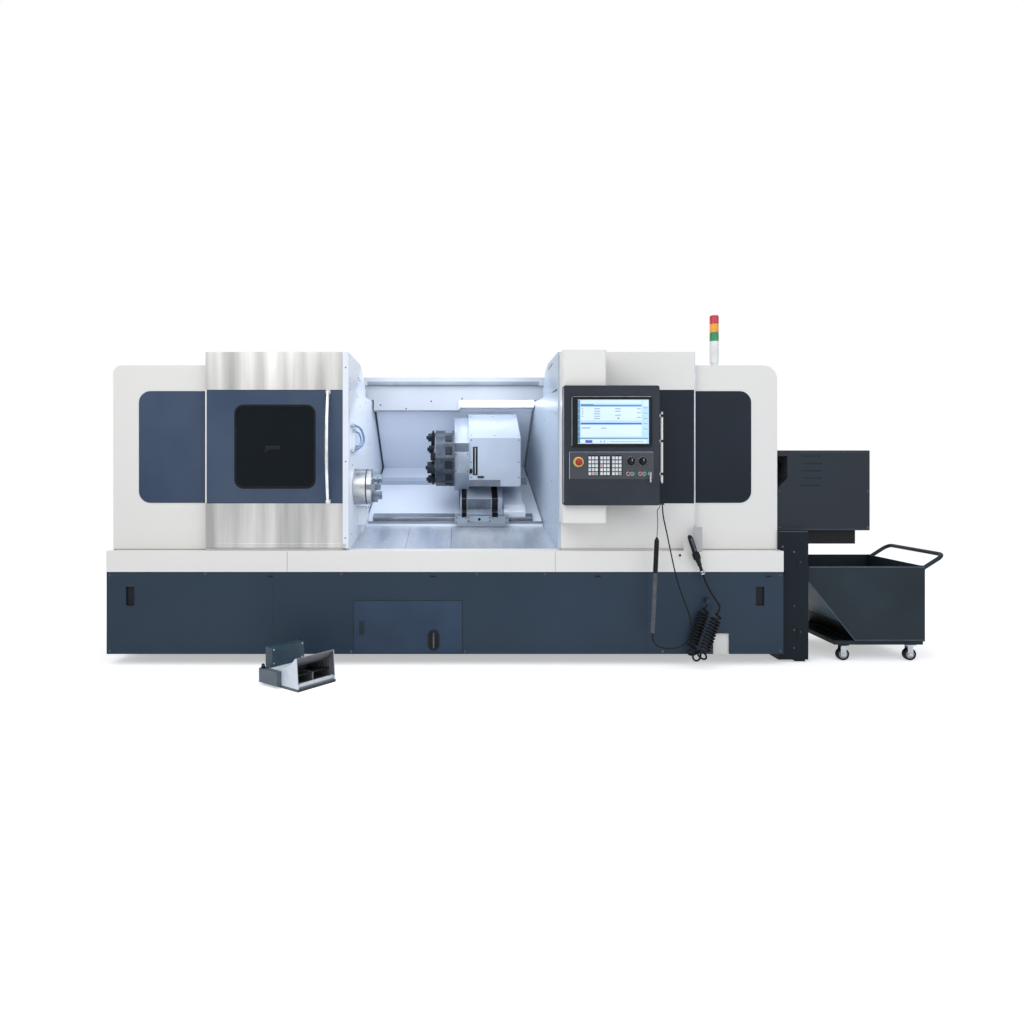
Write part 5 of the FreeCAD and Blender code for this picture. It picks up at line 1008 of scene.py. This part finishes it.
class LATHE_OT_carriage(bpy.types.Operator):
    """Fit the painted shade in the saddle's grooves, its head block, the slide's plates and the turret's
    clamps
    """
    bl_idname = "lathe.carriage"
    bl_label = "Carriage"

    def execute(self, context):
        self.saddle()
        self.slide()
        self.turret()
        return {"FINISHED"}

    def saddle(self):
        """Painted shade in the grooves, head block, screws and the stepped covers of the right wing."""
        saddle, slide = "saddle_body", "cross_slide_body"
        # Black strips in the two grooves of the saddle and up the face of the slide's foot, as painted shade
        # in the grooves.
        grooves = [((low + high) / 2, high - low) for low, high in ((12, 45), (213, 253))]
        piece("groove_painted_shade", [slab(way(middle, 30, 53.1), (wide - 1, 62, 0.8), 1, 0.3, "slope")
                                for middle, wide in grooves], "black ABS and painted shade", saddle)
        legs = [slab(way(middle, 60, 119), (wide, 84, 1.5), 2, 0.6, "slope_front")
                for middle, wide in grooves]
        legs += [slab(way(middle, 150, 162.1), (wide, 178, 1.2), 2, 0.5, "slope")
                 for middle, wide in grooves]
        piece("foot_groove_painted_shade", legs, "black ABS and painted shade", slide)
        piece("foot_plate", slab(way(128, 60, 119), (158, 78, 2.5), 2, 1, "slope_front"),
              "grey casting enamel", slide)
        # The block stays under the slide's foot, which passes over it at the end of its travel.
        head = [slab((128, 481, 822), (166, 38, 16), 4, 2), slab((128, 470, 796), (330, 8, 1.5), 2, 0.6)]
        piece("saddle_head_block", head, "grey machine lacquer", saddle)
        hole = turned([(9.5, 0), (9.5, 0.6), (9, 0.9), (0.5, 0.9)], (128, 465, 822), "front", 24)
        piece("saddle_head_hole", hole, "black ABS and painted shade", saddle)
        heads = [(x, 465, z) for x in (58, 198) for z in (811, 833)]
        heads += [(x, 470, z) for x in (-24, 308) for z in (800, 832)]
        piece("saddle_screws", screws(heads, 5.5, 2), "blackened steel", saddle)
        wings = [slab(way(366, 95, 34), (146, 120, 40), 3, 2, "slope"),
                 slab(way(360, 200, 38), (134, 190, 44), 3, 2, "slope")]
        piece("wing_covers", wings, "white stove enamel", saddle)

    def slide(self):
        """Port, rail, plates and screws on the slide's cover and column."""
        slide, cover_face, column_face = "cross_slide_body", 450, 430
        port = [slab((101, 463.4, 1208), (31, 188, 0.8), 2, 0.3),
                slab((137, cover_face, 1103), (42, 11, 9), 2, 1),
                slab((72, cover_face, 1141), (20, 30, 8), 3, 2)]
        piece("cover_port", port, "black ABS and painted shade", slide)
        piece("port_rail", tube([(101, 458, 1120), (101, 458, 1296)], 4.5), "turned steel", slide)
        piece("cover_foot_plate", slab((164, cover_face, 1062), (206, 42, 2.5), 2, 1),
              "grey casting enamel", slide)
        piece("column_plates", slab((12, column_face, 1196), (92, 134, 3.5), 2, 1.2),
              "grey machine lacquer", slide)
        piece("column_head_plate", slab((12, column_face, 1297), (92, 56, 2.5), 2, 1),
              "grey casting enamel", slide)
        heads = [(x, cover_face, z) for x in (74, 388) for z in (1346, 1200, 1098)]
        heads += [(x, column_face - 3.5, z) for x in (-26, 50) for z in (1252, 1140)]
        piece("cover_screws", screws(heads, 4.5, 1.6), "blackened steel", slide)
        # The cover's top climbs to the rear from its front edge at z 1363.
        crown = [(x, y, 1363 + (y - cover_face) * 0.4608 + 0.4) for x in (76, 232, 386) for y in (480, 800)]
        piece("crown_screws", screws(crown, 5, 1.6, "slope"), "blackened steel", slide)

    def turret(self):
        """Clamps on the drum's twelve flats, and the rings and screws of its face."""
        turret, face, hub = "turret_body", -162, -172
        flat = 187 * math.cos(math.radians(15))
        clamps = [slab((-74, *TURRET[1:]) + station(angle)[2] * flat, (46, 54, 5), 3, 1.5, station(angle))
                  for angle in range(15, 375, 30)]
        piece("turret_clamps", clamps[1:], "black oxide steel", turret)
        # The clamp on the top flat, which faces the light, is pale jaw steel: a painted highlight.
        piece("turret_clamp_painted_highlight", clamps[0], "hardened jaw steel and clamp highlight", turret)
        cap = turned([(60, 0), (60, 3), (56, 5), (30, 5), (26, 2), (6, 2)], (hub, *TURRET[1:]), "left", 48)
        piece("turret_hub_ring", cap, "ground steel", turret)
        rims = [ring([(wide, -0.4), (wide, 1.2), (wide - 1, 1.8), (wide - 4, 1.8), (wide - 5, -0.4)],
                     (face, *TURRET[1:]), "left", 72) for wide in (176, 103)]
        piece("turret_face_rings", rims, "turned steel", turret)
        turn = np.radians(np.arange(12) * 30.0 + 12)
        heads = round_axis(hub, TURRET, 44, -turn[::2]) + round_axis(face, TURRET, 96, -turn)
        piece("turret_screws", screws(heads, 5.5, 4, "left"), "blackened steel", turret)


# ---------------------------------------------------------------- operator panel

PANEL = "right_door_body"
KNOBS = (972, 1038)
KNOB_HEIGHT = 1199


def sheet(name, boxes, finish_name, lift=0.0):
    """Flat fields on the display; each box is its left, right, low and high edge."""
    glass = -245.05
    piece(name, [slab(((left + right) / 2, glass - lift, (low + high) / 2),
                      (right - left, high - low, 0.25), 0.8, 0.1) for left, right, low, high in boxes],
          finish_name, PANEL)


def on_lamp(high):
    """A place on the hand lamp's leaning axis."""
    return (LAMP_TOP[0] - (LAMP_TOP[2] - high) * 0.04529, LAMP_DEPTH, high)


class LATHE_OT_panel_fittings(bpy.types.Operator):
    """Light the display and fit the panel's trims, scales, caps and screws"""
    bl_idname = "lathe.panel_fittings"
    bl_label = "Panel fittings"

    def execute(self, context):
        self.display()
        self.edges()
        self.knobs()
        self.keys()
        self.bar_and_lamp()
        return {"FINISHED"}

    def display(self):
        """A page of nameless bars and fields, three layers deep."""
        middle, top = 0.25, 0.5
        left, right = 685, 1030
        sheet("display_ground", [(668, 1072, 1298, 1549)], "display sky")
        pages = [(left, right, *span) for span in ((1526, 1545), (1430, 1506), (1338, 1404))]
        pages += [(1036, 1068, 1512, 1545), (left, 1060, 1301, 1322)]
        sheet("display_pages", pages, "display white", middle)
        sheet("display_bars", [(left, right, 1510, 1519), (left, 760, 1519, 1523), (668, 681, 1302, 1545),
                               (668, 1068, 1326, 1332)], "display steel", middle)
        sheet("display_marks_blue", [(left, right, 1408, 1417), (711, 751, 1303, 1319)],
              "display indigo", top)
        rows = (1494, 1480, 1466, 1452)
        marks = [(690, 700, z, z + 5) for z in rows]
        marks += [(761, 795, z, z + 5) for z in rows + (1438,)]
        marks += [(880, 912, z, z + 5) for z in (1494, 1480, 1458)]
        marks += [(1004, 1026, z, z + 5) for z in (1494, 1472, 1445)]
        marks += [(690, 740, 1385, 1391), (800, 830, 1384, 1389)]
        marks += [(1040, 1064, z, z + 4) for z in range(1500, 1379, -30)]
        marks += [(795, 803, 1306, 1316), (815, 823, 1306, 1316), (850, 1040, 1310, 1313)]
        marks += [(671, 678, z, z + 9) for z in range(1330, 1530, 33)]
        sheet("display_marks_grey", marks, "display grey", top)
        sheet("display_mark_green", [(892, 904, 1440, 1446)], "moulded green ABS", top)

    def edges(self):
        """Painted highlights on the left and top edges of the bezel, key plate and box, the screen's frame
        and the plate's screws.
        """
        bright = [upright(634.5, BEZEL_FACE, 1286, 1561, 2.2, 0.8),
                  level(640, 1084, BEZEL_FACE, 1565.4, 1.6, 0.6),
                  upright(621, PLATE_FACE, 1100, 1250, 2.2, 0.8),
                  level(622, 1097, PLATE_FACE, 1251.4, 1.4, 0.5),
                  upright(588.5, BOX_FACE, 962, 1616, 2.4, 0.8)]
        piece("panel_edge_highlights", bright, "silver edge line and painted highlight", PANEL)
        left, right, low, high = 664, 1076, 1294, 1553
        sides = [upright(left, BEZEL_FACE, low, high, 5, 0.6), level(left, right, BEZEL_FACE, high, 5, 0.6),
                 upright(right, BEZEL_FACE, low, high, 5, 0.6), level(left, right, BEZEL_FACE, low, 5, 0.6)]
        piece("screen_inner_frame", sides, "black ABS and painted shade", PANEL)
        heads = [(x, PLATE_FACE, z) for x in (626, 1092) for z in (1104, 1246)]
        piece("key_plate_screws", screws(heads, 3.2, 1.2), "blackened steel", PANEL)

    def knobs(self):
        """Eleven ticks round each override knob, and its pointer and grips."""
        knob_side, knob_face = -250, -267.3

        def round_knob(across, radius, deep, lean):
            return (across + radius * math.sin(lean), deep, KNOB_HEIGHT + radius * math.cos(lean))

        ticks = [strip(round_knob(across, 24.5, PLATE_FACE, lean), round_knob(across, 28.5, PLATE_FACE, lean),
                       1.3, 0.4) for across in KNOBS for lean in map(math.radians, range(-150, 151, 30))]
        piece("knob_scales", ticks, "pale ABS key caps", PANEL)
        for index, across in enumerate(KNOBS, 1):
            knob = f"override_knob_{index}_body"
            pointer = slab((across, knob_face, KNOB_HEIGHT + 7.5), (2.6, 14, 0.6), 1, 0.2)
            piece(f"knob_pointer_{index}", pointer, "pale ABS key caps", knob)
            grips = [strip(round_knob(across, 17.2, knob_side, lean),
                           round_knob(across, 18.1, knob_side, lean), 2.0, 14)
                     for lean in np.radians(np.arange(0, 360, 20.0))]
            piece(f"knob_grips_{index}", grips, "black ABS and painted shade", knob)

    def keys(self):
        """A paler face on each cap of the three groups of keys; a few are coloured."""
        first, group_step, column_step, row_step = (729, 1120), 67, 19, 22.3
        cap_face = -247
        faces = {"key_faces": [], "key_faces_rose": [], "key_faces_green": []}
        coloured = {(0, 1, 0): "key_faces_rose", (1, 0, 2): "key_faces_rose",
                    (0, 2, 0): "key_faces_green", (2, 2, 0): "key_faces_green"}
        for group, column, row in np.ndindex(3, 3, 5):
            spot = (first[0] + group_step * group + column_step * column + 7.5, cap_face,
                    first[1] + row_step * row + 8.5)
            faces[coloured.get((group, column, row), "key_faces")].append(
                slab(spot, (11.5, 13, 0.8), 2.2, 0.4))
        for (name, parts), finish_name in zip(faces.items(), ("pale ABS key caps", "rose tinted ABS",
                                                              "green tinted ABS")):
            piece(name, parts, finish_name, PANEL)
        wells = [slab((first[0] + group_step * group + 28, PLATE_FACE, first[1] + 54), (62, 118, 0.5), 4, 0.3)
                 for group in range(3)]
        piece("key_wells", wells, "black ABS and painted shade", PANEL)
        profile = [(11.5, -0.3), (11.5, 1.2), (10.6, 2), (8.9, 2), (8.9, -0.3)]
        piece("button_collars", [ring(profile, (x, PLATE_FACE, 1128)) for x in (955, 978, 1023, 1046)],
              "turned steel", PANEL)

    def bar_and_lamp(self):
        """Clamps and caps of the grab bar, bands, lens and ridges of the hand lamp, the door's edge."""
        bar = (1152, -215)
        clamps = [tube([(*bar, z - 7), (*bar, z + 7)], 10.5, 16) for z in (1127, 1314, 1459)]
        piece("grab_bar_clamps", clamps, "black ABS and painted shade", PANEL)
        tips = [turned([(9.5, 0), (9.5, 7), (7, 9), (1, 9)], (*bar, z), facing, 20)
                for z, facing in ((1472, "up"), (1082, "down"))]
        piece("grab_bar_caps", tips, "turned steel", PANEL)
        piece("lamp_bands", [tube([on_lamp(high), on_lamp(high - 5)], 13.8, 20) for high in (559, 222)],
              "blackened steel", PANEL)
        piece("lamp_lens", tube([on_lamp(554), on_lamp(222)], 13.5, 20), "smoked polycarbonate", PANEL)
        ridges = [tube([on_lamp(high), on_lamp(high - 4)], 13.8, 16) for high in range(735, 575, -9)]
        piece("lamp_grip_ridges", ridges, "moulded black rubber", PANEL)
        piece("right_door_edge_line", upright(1394, DOOR_SKIN, 690, 1846, 3, 0.6), "silver edge line and painted highlight",
              PANEL)


# ---------------------------------------------------------------- conveyor and cart

AXLE_HEIGHT = 36.5
BOTH_SIDES = ((-1, "front"), (1, "back"))
HEAD_FACE, RISER_FACE, CART_FACE = 20, -15, 0


def axle_nuts(x, places):
    """Hexagon nuts on the cart's axles, at (y, facing)."""
    return [turned([(8, 0), (8, 4), (6, 6), (1, 6)], (x, y, AXLE_HEIGHT), facing, 6) for y, facing in places]


class LATHE_OT_conveyor(bpy.types.Operator):
    """Fit the conveyor's bolts and painted edge highlights, and the cart's rim and seam highlights, tray,
    hubs and forks
    """
    bl_idname = "lathe.conveyor"
    bl_label = "Conveyor and cart"

    def execute(self, context):
        bolts = [(1997, RISER_FACE - 2, z) for z in (659, 336, 192, 85)]
        bolts += [(x, HEAD_FACE, z) for x in (1926, 2458) for z in (802, 1020)]
        bolts += [(x, RISER_FACE, z) for x, z in ((2036, 600), (2036, 180), (1930, 690))]
        piece("conveyor_bolts", screws(bolts, 7, 3), "blackened steel")
        # Lighter slate along the head's seams and the riser's top edge: a painted highlight.
        seams = [level(1912, 2460, HEAD_FACE, 792, 3, 0.8), level(2052, 2460, HEAD_FACE, 1257, 2, 0.8),
                 level(1905, 2081, RISER_FACE, 781, 4, 1.2)]
        piece("conveyor_edge_highlights", seams, "slate painted as edge highlight")
        piece("riser_hatch", slab((1968, RISER_FACE, 506), (74, 126, 1.4), 4, 0.6), "dark riser powder coat")
        motor = [turned([(27, 0), (27, 4), (22, 7), (10, 8), (1, 8)], (1947, 130, 1166))]
        motor += [tube([(1947, y, 1166), (1947, y + 4, 1166)], 31.5, 32) for y in range(150, 330, 14)]
        piece("motor_fins", motor, "blackened steel")

        # Lighter slate along the cart's rim and weld seams: a painted highlight.
        piece("cart_rim_highlight", level(2096, 2788, CART_FACE, 566, 6, 1.2), "slate painted as edge highlight", "cart")
        seams = [level(2372, 2790, CART_FACE, 128, 5, 1.0),
                 strip((2095, CART_FACE, 474), (2372, CART_FACE, 124), 5, 1.0)]
        piece("cart_seam_highlights", seams, "slate painted as edge highlight", "cart")
        piece("cart_tray", slab((2316, 315, 119.6), (118, 588, 1.6), 2, 0.6, "up"), "black ABS and painted shade",
              "cart")
        piece("handle_brackets", [slab((2788, y, 556), (34, 34, 3), 4, 1, "right") for y in (20, 610)],
              "slate powder coat", "cart")
        fixed, swivelling, wheel_rows = 2313, 2717, (40, 590)
        cheeks = [slab((fixed, y + side * 18, 56), (34, 66, 0.8), 8, 0.3, facing)
                  for y in wheel_rows for side, facing in BOTH_SIDES]
        piece("fixed_fork_faces", cheeks, "turned steel", "cart")
        nuts = axle_nuts(fixed, [(y + side * 19, facing) for y in wheel_rows for side, facing in BOTH_SIDES])
        piece("fixed_axle_nuts", nuts, "ground steel", "cart")
        for index, y in enumerate(wheel_rows, 1):
            nuts = axle_nuts(swivelling, [(y + side * 18.2, facing) for side, facing in BOTH_SIDES])
            piece(f"swivel_axle_nuts_{index}", nuts, "ground steel", f"swivel_fork_{index}_body")
        profile = [(25, 0), (25, 0.5), (23, 0.8), (9, 0.8), (8, 0.4), (6.5, 0)]
        wheels = [(x, y) for x in (fixed, swivelling) for y in wheel_rows]
        for index, (x, y) in enumerate(wheels, 1):
            hub = [turned(profile, (x, y + side * 14, AXLE_HEIGHT), facing) for side, facing in BOTH_SIDES]
            piece(f"wheel_hub_{index}", hub, "grey nylon rim", f"cart_wheel_{index}_body")
        return {"FINISHED"}


# ---------------------------------------------------------------- foot switch and coolant gun

def on_pedal(across, deep, high):
    """A place on the turned foot switch."""
    return PEDAL + across * PEDAL_AXES[0] + deep * PEDAL_AXES[1] + np.array([0, 0, high])


class LATHE_OT_pedal_and_gun(bpy.types.Operator):
    """Fit the foot switch's ribs and screws and the coolant gun's collars"""
    bl_idname = "lathe.pedal_and_gun"
    bl_label = "Foot switch and gun"

    def execute(self, context):
        self.pedal()
        self.gun()
        return {"FINISHED"}

    def pedal(self):
        """Screws of the rear box, the hood's ribs, the toe strip and the cord's gland."""
        front = np.stack([PEDAL_AXES[0], PEDAL_AXES[2], -PEDAL_AXES[1]])
        left = np.stack([-PEDAL_AXES[1], PEDAL_AXES[2], -PEDAL_AXES[0]])
        heads = [on_pedal(x, 240, z) for x in (34, 228) for z in (104, 178)]
        piece("pedal_box_screws", screws(heads, 5, 2.4, front), "turned steel")
        # Stiffening ribs stand on the inner face of the hood's right wall.
        ribs = [slab(on_pedal(252, y, 14 + tall / 2), (3.5, tall, 3.5), 0.8, 0.8, left)
                for y, tall in ((40, 112), (62, 96), (84, 84), (106, 74), (128, 66))]
        piece("pedal_hood_ribs", ribs, "grey pedal enamel")
        piece("pedal_toe_strip", slab(on_pedal(130, 18, 24), (240, 16, 1.6), 3, 0.8, front),
              "pale pedal enamel")
        profile = [(11, 0), (11, 9), (8, 12), (8, 20), (5, 22), (1, 22)]
        piece("pedal_gland_cap", turned(profile, on_pedal(-16, 268, 88), "up", 20), "moulded black rubber")

    def gun(self):
        """Collars, rings, ridges and nozzle along the gun, and its holder's plate and screw."""
        along = np.array([[math.cos(GUN_LEAN), 0, math.sin(GUN_LEAN)], [0, -1, 0], GUN_AXIS])
        rings = []
        for start, radius, length in ((234, 13.2, 9), (248, 13.2, 9), (190, 12.6, 14), (56, 15.8, 4)):
            profile = [(radius - 1, 0), (radius, 1), (radius, length - 1), (radius - 1, length)]
            rings.append(turned(profile, GUN_TIP + GUN_AXIS * start, along, 24))
        piece("gun_collars", rings[:2], "turned steel")
        piece("gun_body_rings", rings[2:], "black oxide steel")
        ridges = [turned([(15.1, 0), (16, 1.5), (15.1, 3)], GUN_TIP + GUN_AXIS * start, along, 20)
                  for start in range(66, 138, 8)]
        piece("gun_grip_ridges", ridges, "moulded black rubber")
        nozzle = turned([(5.2, -0.4), (6.2, 3), (6.2, 12), (7, 14)], GUN_TIP, along, 20)
        piece("gun_nozzle", nozzle, "turned steel")
        piece("gun_back_plate", slab((1399, -88.2, 741), (51, 146, 3.6), 3, 1.2), "galvanised steel")
        piece("holder_screw_cap", screws([(1292, -94, 648)], 8, 4), "blackened steel")


# ---------------------------------------------------------------- studio

# Name, place, aim, size in metres, watts and colour of each lamp. The work light is the machine's own.
LAMPS = (
    ("key_light", (-1800, -3600, 4200), (300, 300, 800), 3.5, 85, "#ffffff"),
    ("fill_light", (3200, -3800, 2600), (600, 200, 900), 3.0, 40, "#eef4ff"),
    ("top_light", (200, 300, 4600), (200, 300, 0), 4.0, 60, "#ffffff"),
    ("work_light", (-60, 300, 1720), (-40, 820, 960), 1.0, 5.2, "#e9f1ff"),
)
CAMERA_PLACE = (0, -4500, 1155)
WHITE = (1, 1, 1, 1)


def floor_paint():
    """A pale floor, lifted to white where it is looked at, that keeps the shadow."""
    made = bpy.data.materials.new("pale floor")
    tree = emptied(made)
    where = add(tree, "ShaderNodeTexCoord").outputs["Object"]
    cloud = spread(tree, grain(tree, where, 2000.0), 0.0, 1.0)
    lift = add(tree, "ShaderNodeMath", {0: seen_directly(tree), 1: 0.45}, operation="MULTIPLY")
    pale, paler = (0.90, 0.90, 0.91, 1), (0.93, 0.93, 0.94, 1)
    surface = add(tree, "ShaderNodeBsdfPrincipled",
                  {"Base Color": blended(tree, cloud, pale, paler, "RGBA"), "Roughness": 0.8,
                   "Specular IOR Level": 0.1, "Emission Color": WHITE,
                   "Emission Strength": lift.outputs[0]})
    add(tree, "ShaderNodeOutputMaterial", {"Surface": surface.outputs[0]})
    return made


class LATHE_OT_studio(bpy.types.Operator):
    """Lay the pale floor and set the soft lights and the camera"""
    bl_idname = "lathe.studio"
    bl_label = "Studio"

    def execute(self, context):
        scene = context.scene
        scene.view_settings.view_transform = "Standard"
        reach = scene.lathe_sizes.floor * 1000
        corners = np.array([(x * reach, y * reach, -1) for x, y in ((-1, -1), (1, -1), (1, 1), (-1, 1))])
        mesh = bpy.data.meshes.new("studio_floor")
        mesh.from_pydata(metres(corners).tolist(), [], [[0, 1, 2, 3]])
        mesh.materials.append(floor_paint())
        ground = bpy.data.objects.new("studio_floor", mesh)
        scene.collection.objects.link(ground)

        # A soft cool sky lights the machine; what is seen directly is plain white.
        scene.world = bpy.data.worlds.new("studio")
        tree = emptied(scene.world)
        soft = add(tree, "ShaderNodeBackground", {"Color": (0.93, 0.96, 1.0, 1), "Strength": 0.62})
        plain = add(tree, "ShaderNodeBackground", {"Color": WHITE, "Strength": 1.0})
        both = add(tree, "ShaderNodeMixShader",
                   {0: seen_directly(tree), 1: soft.outputs[0], 2: plain.outputs[0]})
        add(tree, "ShaderNodeOutputWorld", {"Surface": both.outputs[0]})

        for name, place, aim, size, power, hue in LAMPS:
            lamp = bpy.data.lights.new(name, "AREA")
            lamp.size = size
            lamp.energy = power
            lamp.color = linear(hue)[:3]
            thing = bpy.data.objects.new(name, lamp)
            scene.collection.objects.link(thing)
            start, end = Vector(metres(place)), Vector(metres(aim))
            thing.location = start
            thing.rotation_euler = (end - start).to_track_quat("-Z", "Y").to_euler()

        # The photo was taken from straight in front; the shift only frames it.
        camera = bpy.data.cameras.new("photo_camera")
        camera.lens = 26.37
        camera.shift_x = 0.0508
        camera.shift_y = -0.042
        camera.clip_end = 200
        thing = bpy.data.objects.new("photo_camera", camera)
        scene.collection.objects.link(thing)
        thing.location = metres(CAMERA_PLACE)
        thing.rotation_euler = (math.pi / 2, 0, 0)
        scene.camera = thing
        return {"FINISHED"}


class LATHE_PT_panel(bpy.types.Panel):
    """Buttons for each group of pieces"""
    bl_label = "Turning Lathe"
    bl_idname = "LATHE_PT_panel"
    bl_space_type = "VIEW_3D"
    bl_region_type = "UI"
    bl_category = "Lathe"

    def draw(self, context):
        for operator in OPERATORS:
            self.layout.operator(operator.bl_idname)
        for group in (context.scene.lathe_sizes, context.scene.lathe_colours):
            for key in group.bl_rna.properties.keys():
                if key not in ("rna_type", "name"):
                    self.layout.prop(group, key)


OPERATORS = (LATHE_OT_finishes, LATHE_OT_studio, LATHE_OT_cords, LATHE_OT_guards, LATHE_OT_left_door,
             LATHE_OT_enclosure, LATHE_OT_spindle, LATHE_OT_carriage, LATHE_OT_panel_fittings,
             LATHE_OT_conveyor, LATHE_OT_pedal_and_gun)
CLASSES = (LatheSizes, LatheColours) + OPERATORS + (LATHE_PT_panel,)


def register():
    for kind in CLASSES:
        bpy.utils.register_class(kind)
    bpy.types.Scene.lathe_sizes = bpy.props.PointerProperty(type=LatheSizes)
    bpy.types.Scene.lathe_colours = bpy.props.PointerProperty(type=LatheColours)


def unregister():
    del bpy.types.Scene.lathe_colours
    del bpy.types.Scene.lathe_sizes
    for kind in reversed(CLASSES):
        bpy.utils.unregister_class(kind)


def main():
    register()
    for operator in OPERATORS:
        group, name = operator.bl_idname.split(".")
        getattr(getattr(bpy.ops, group), name)()


if __name__ == "__main__":
    main()
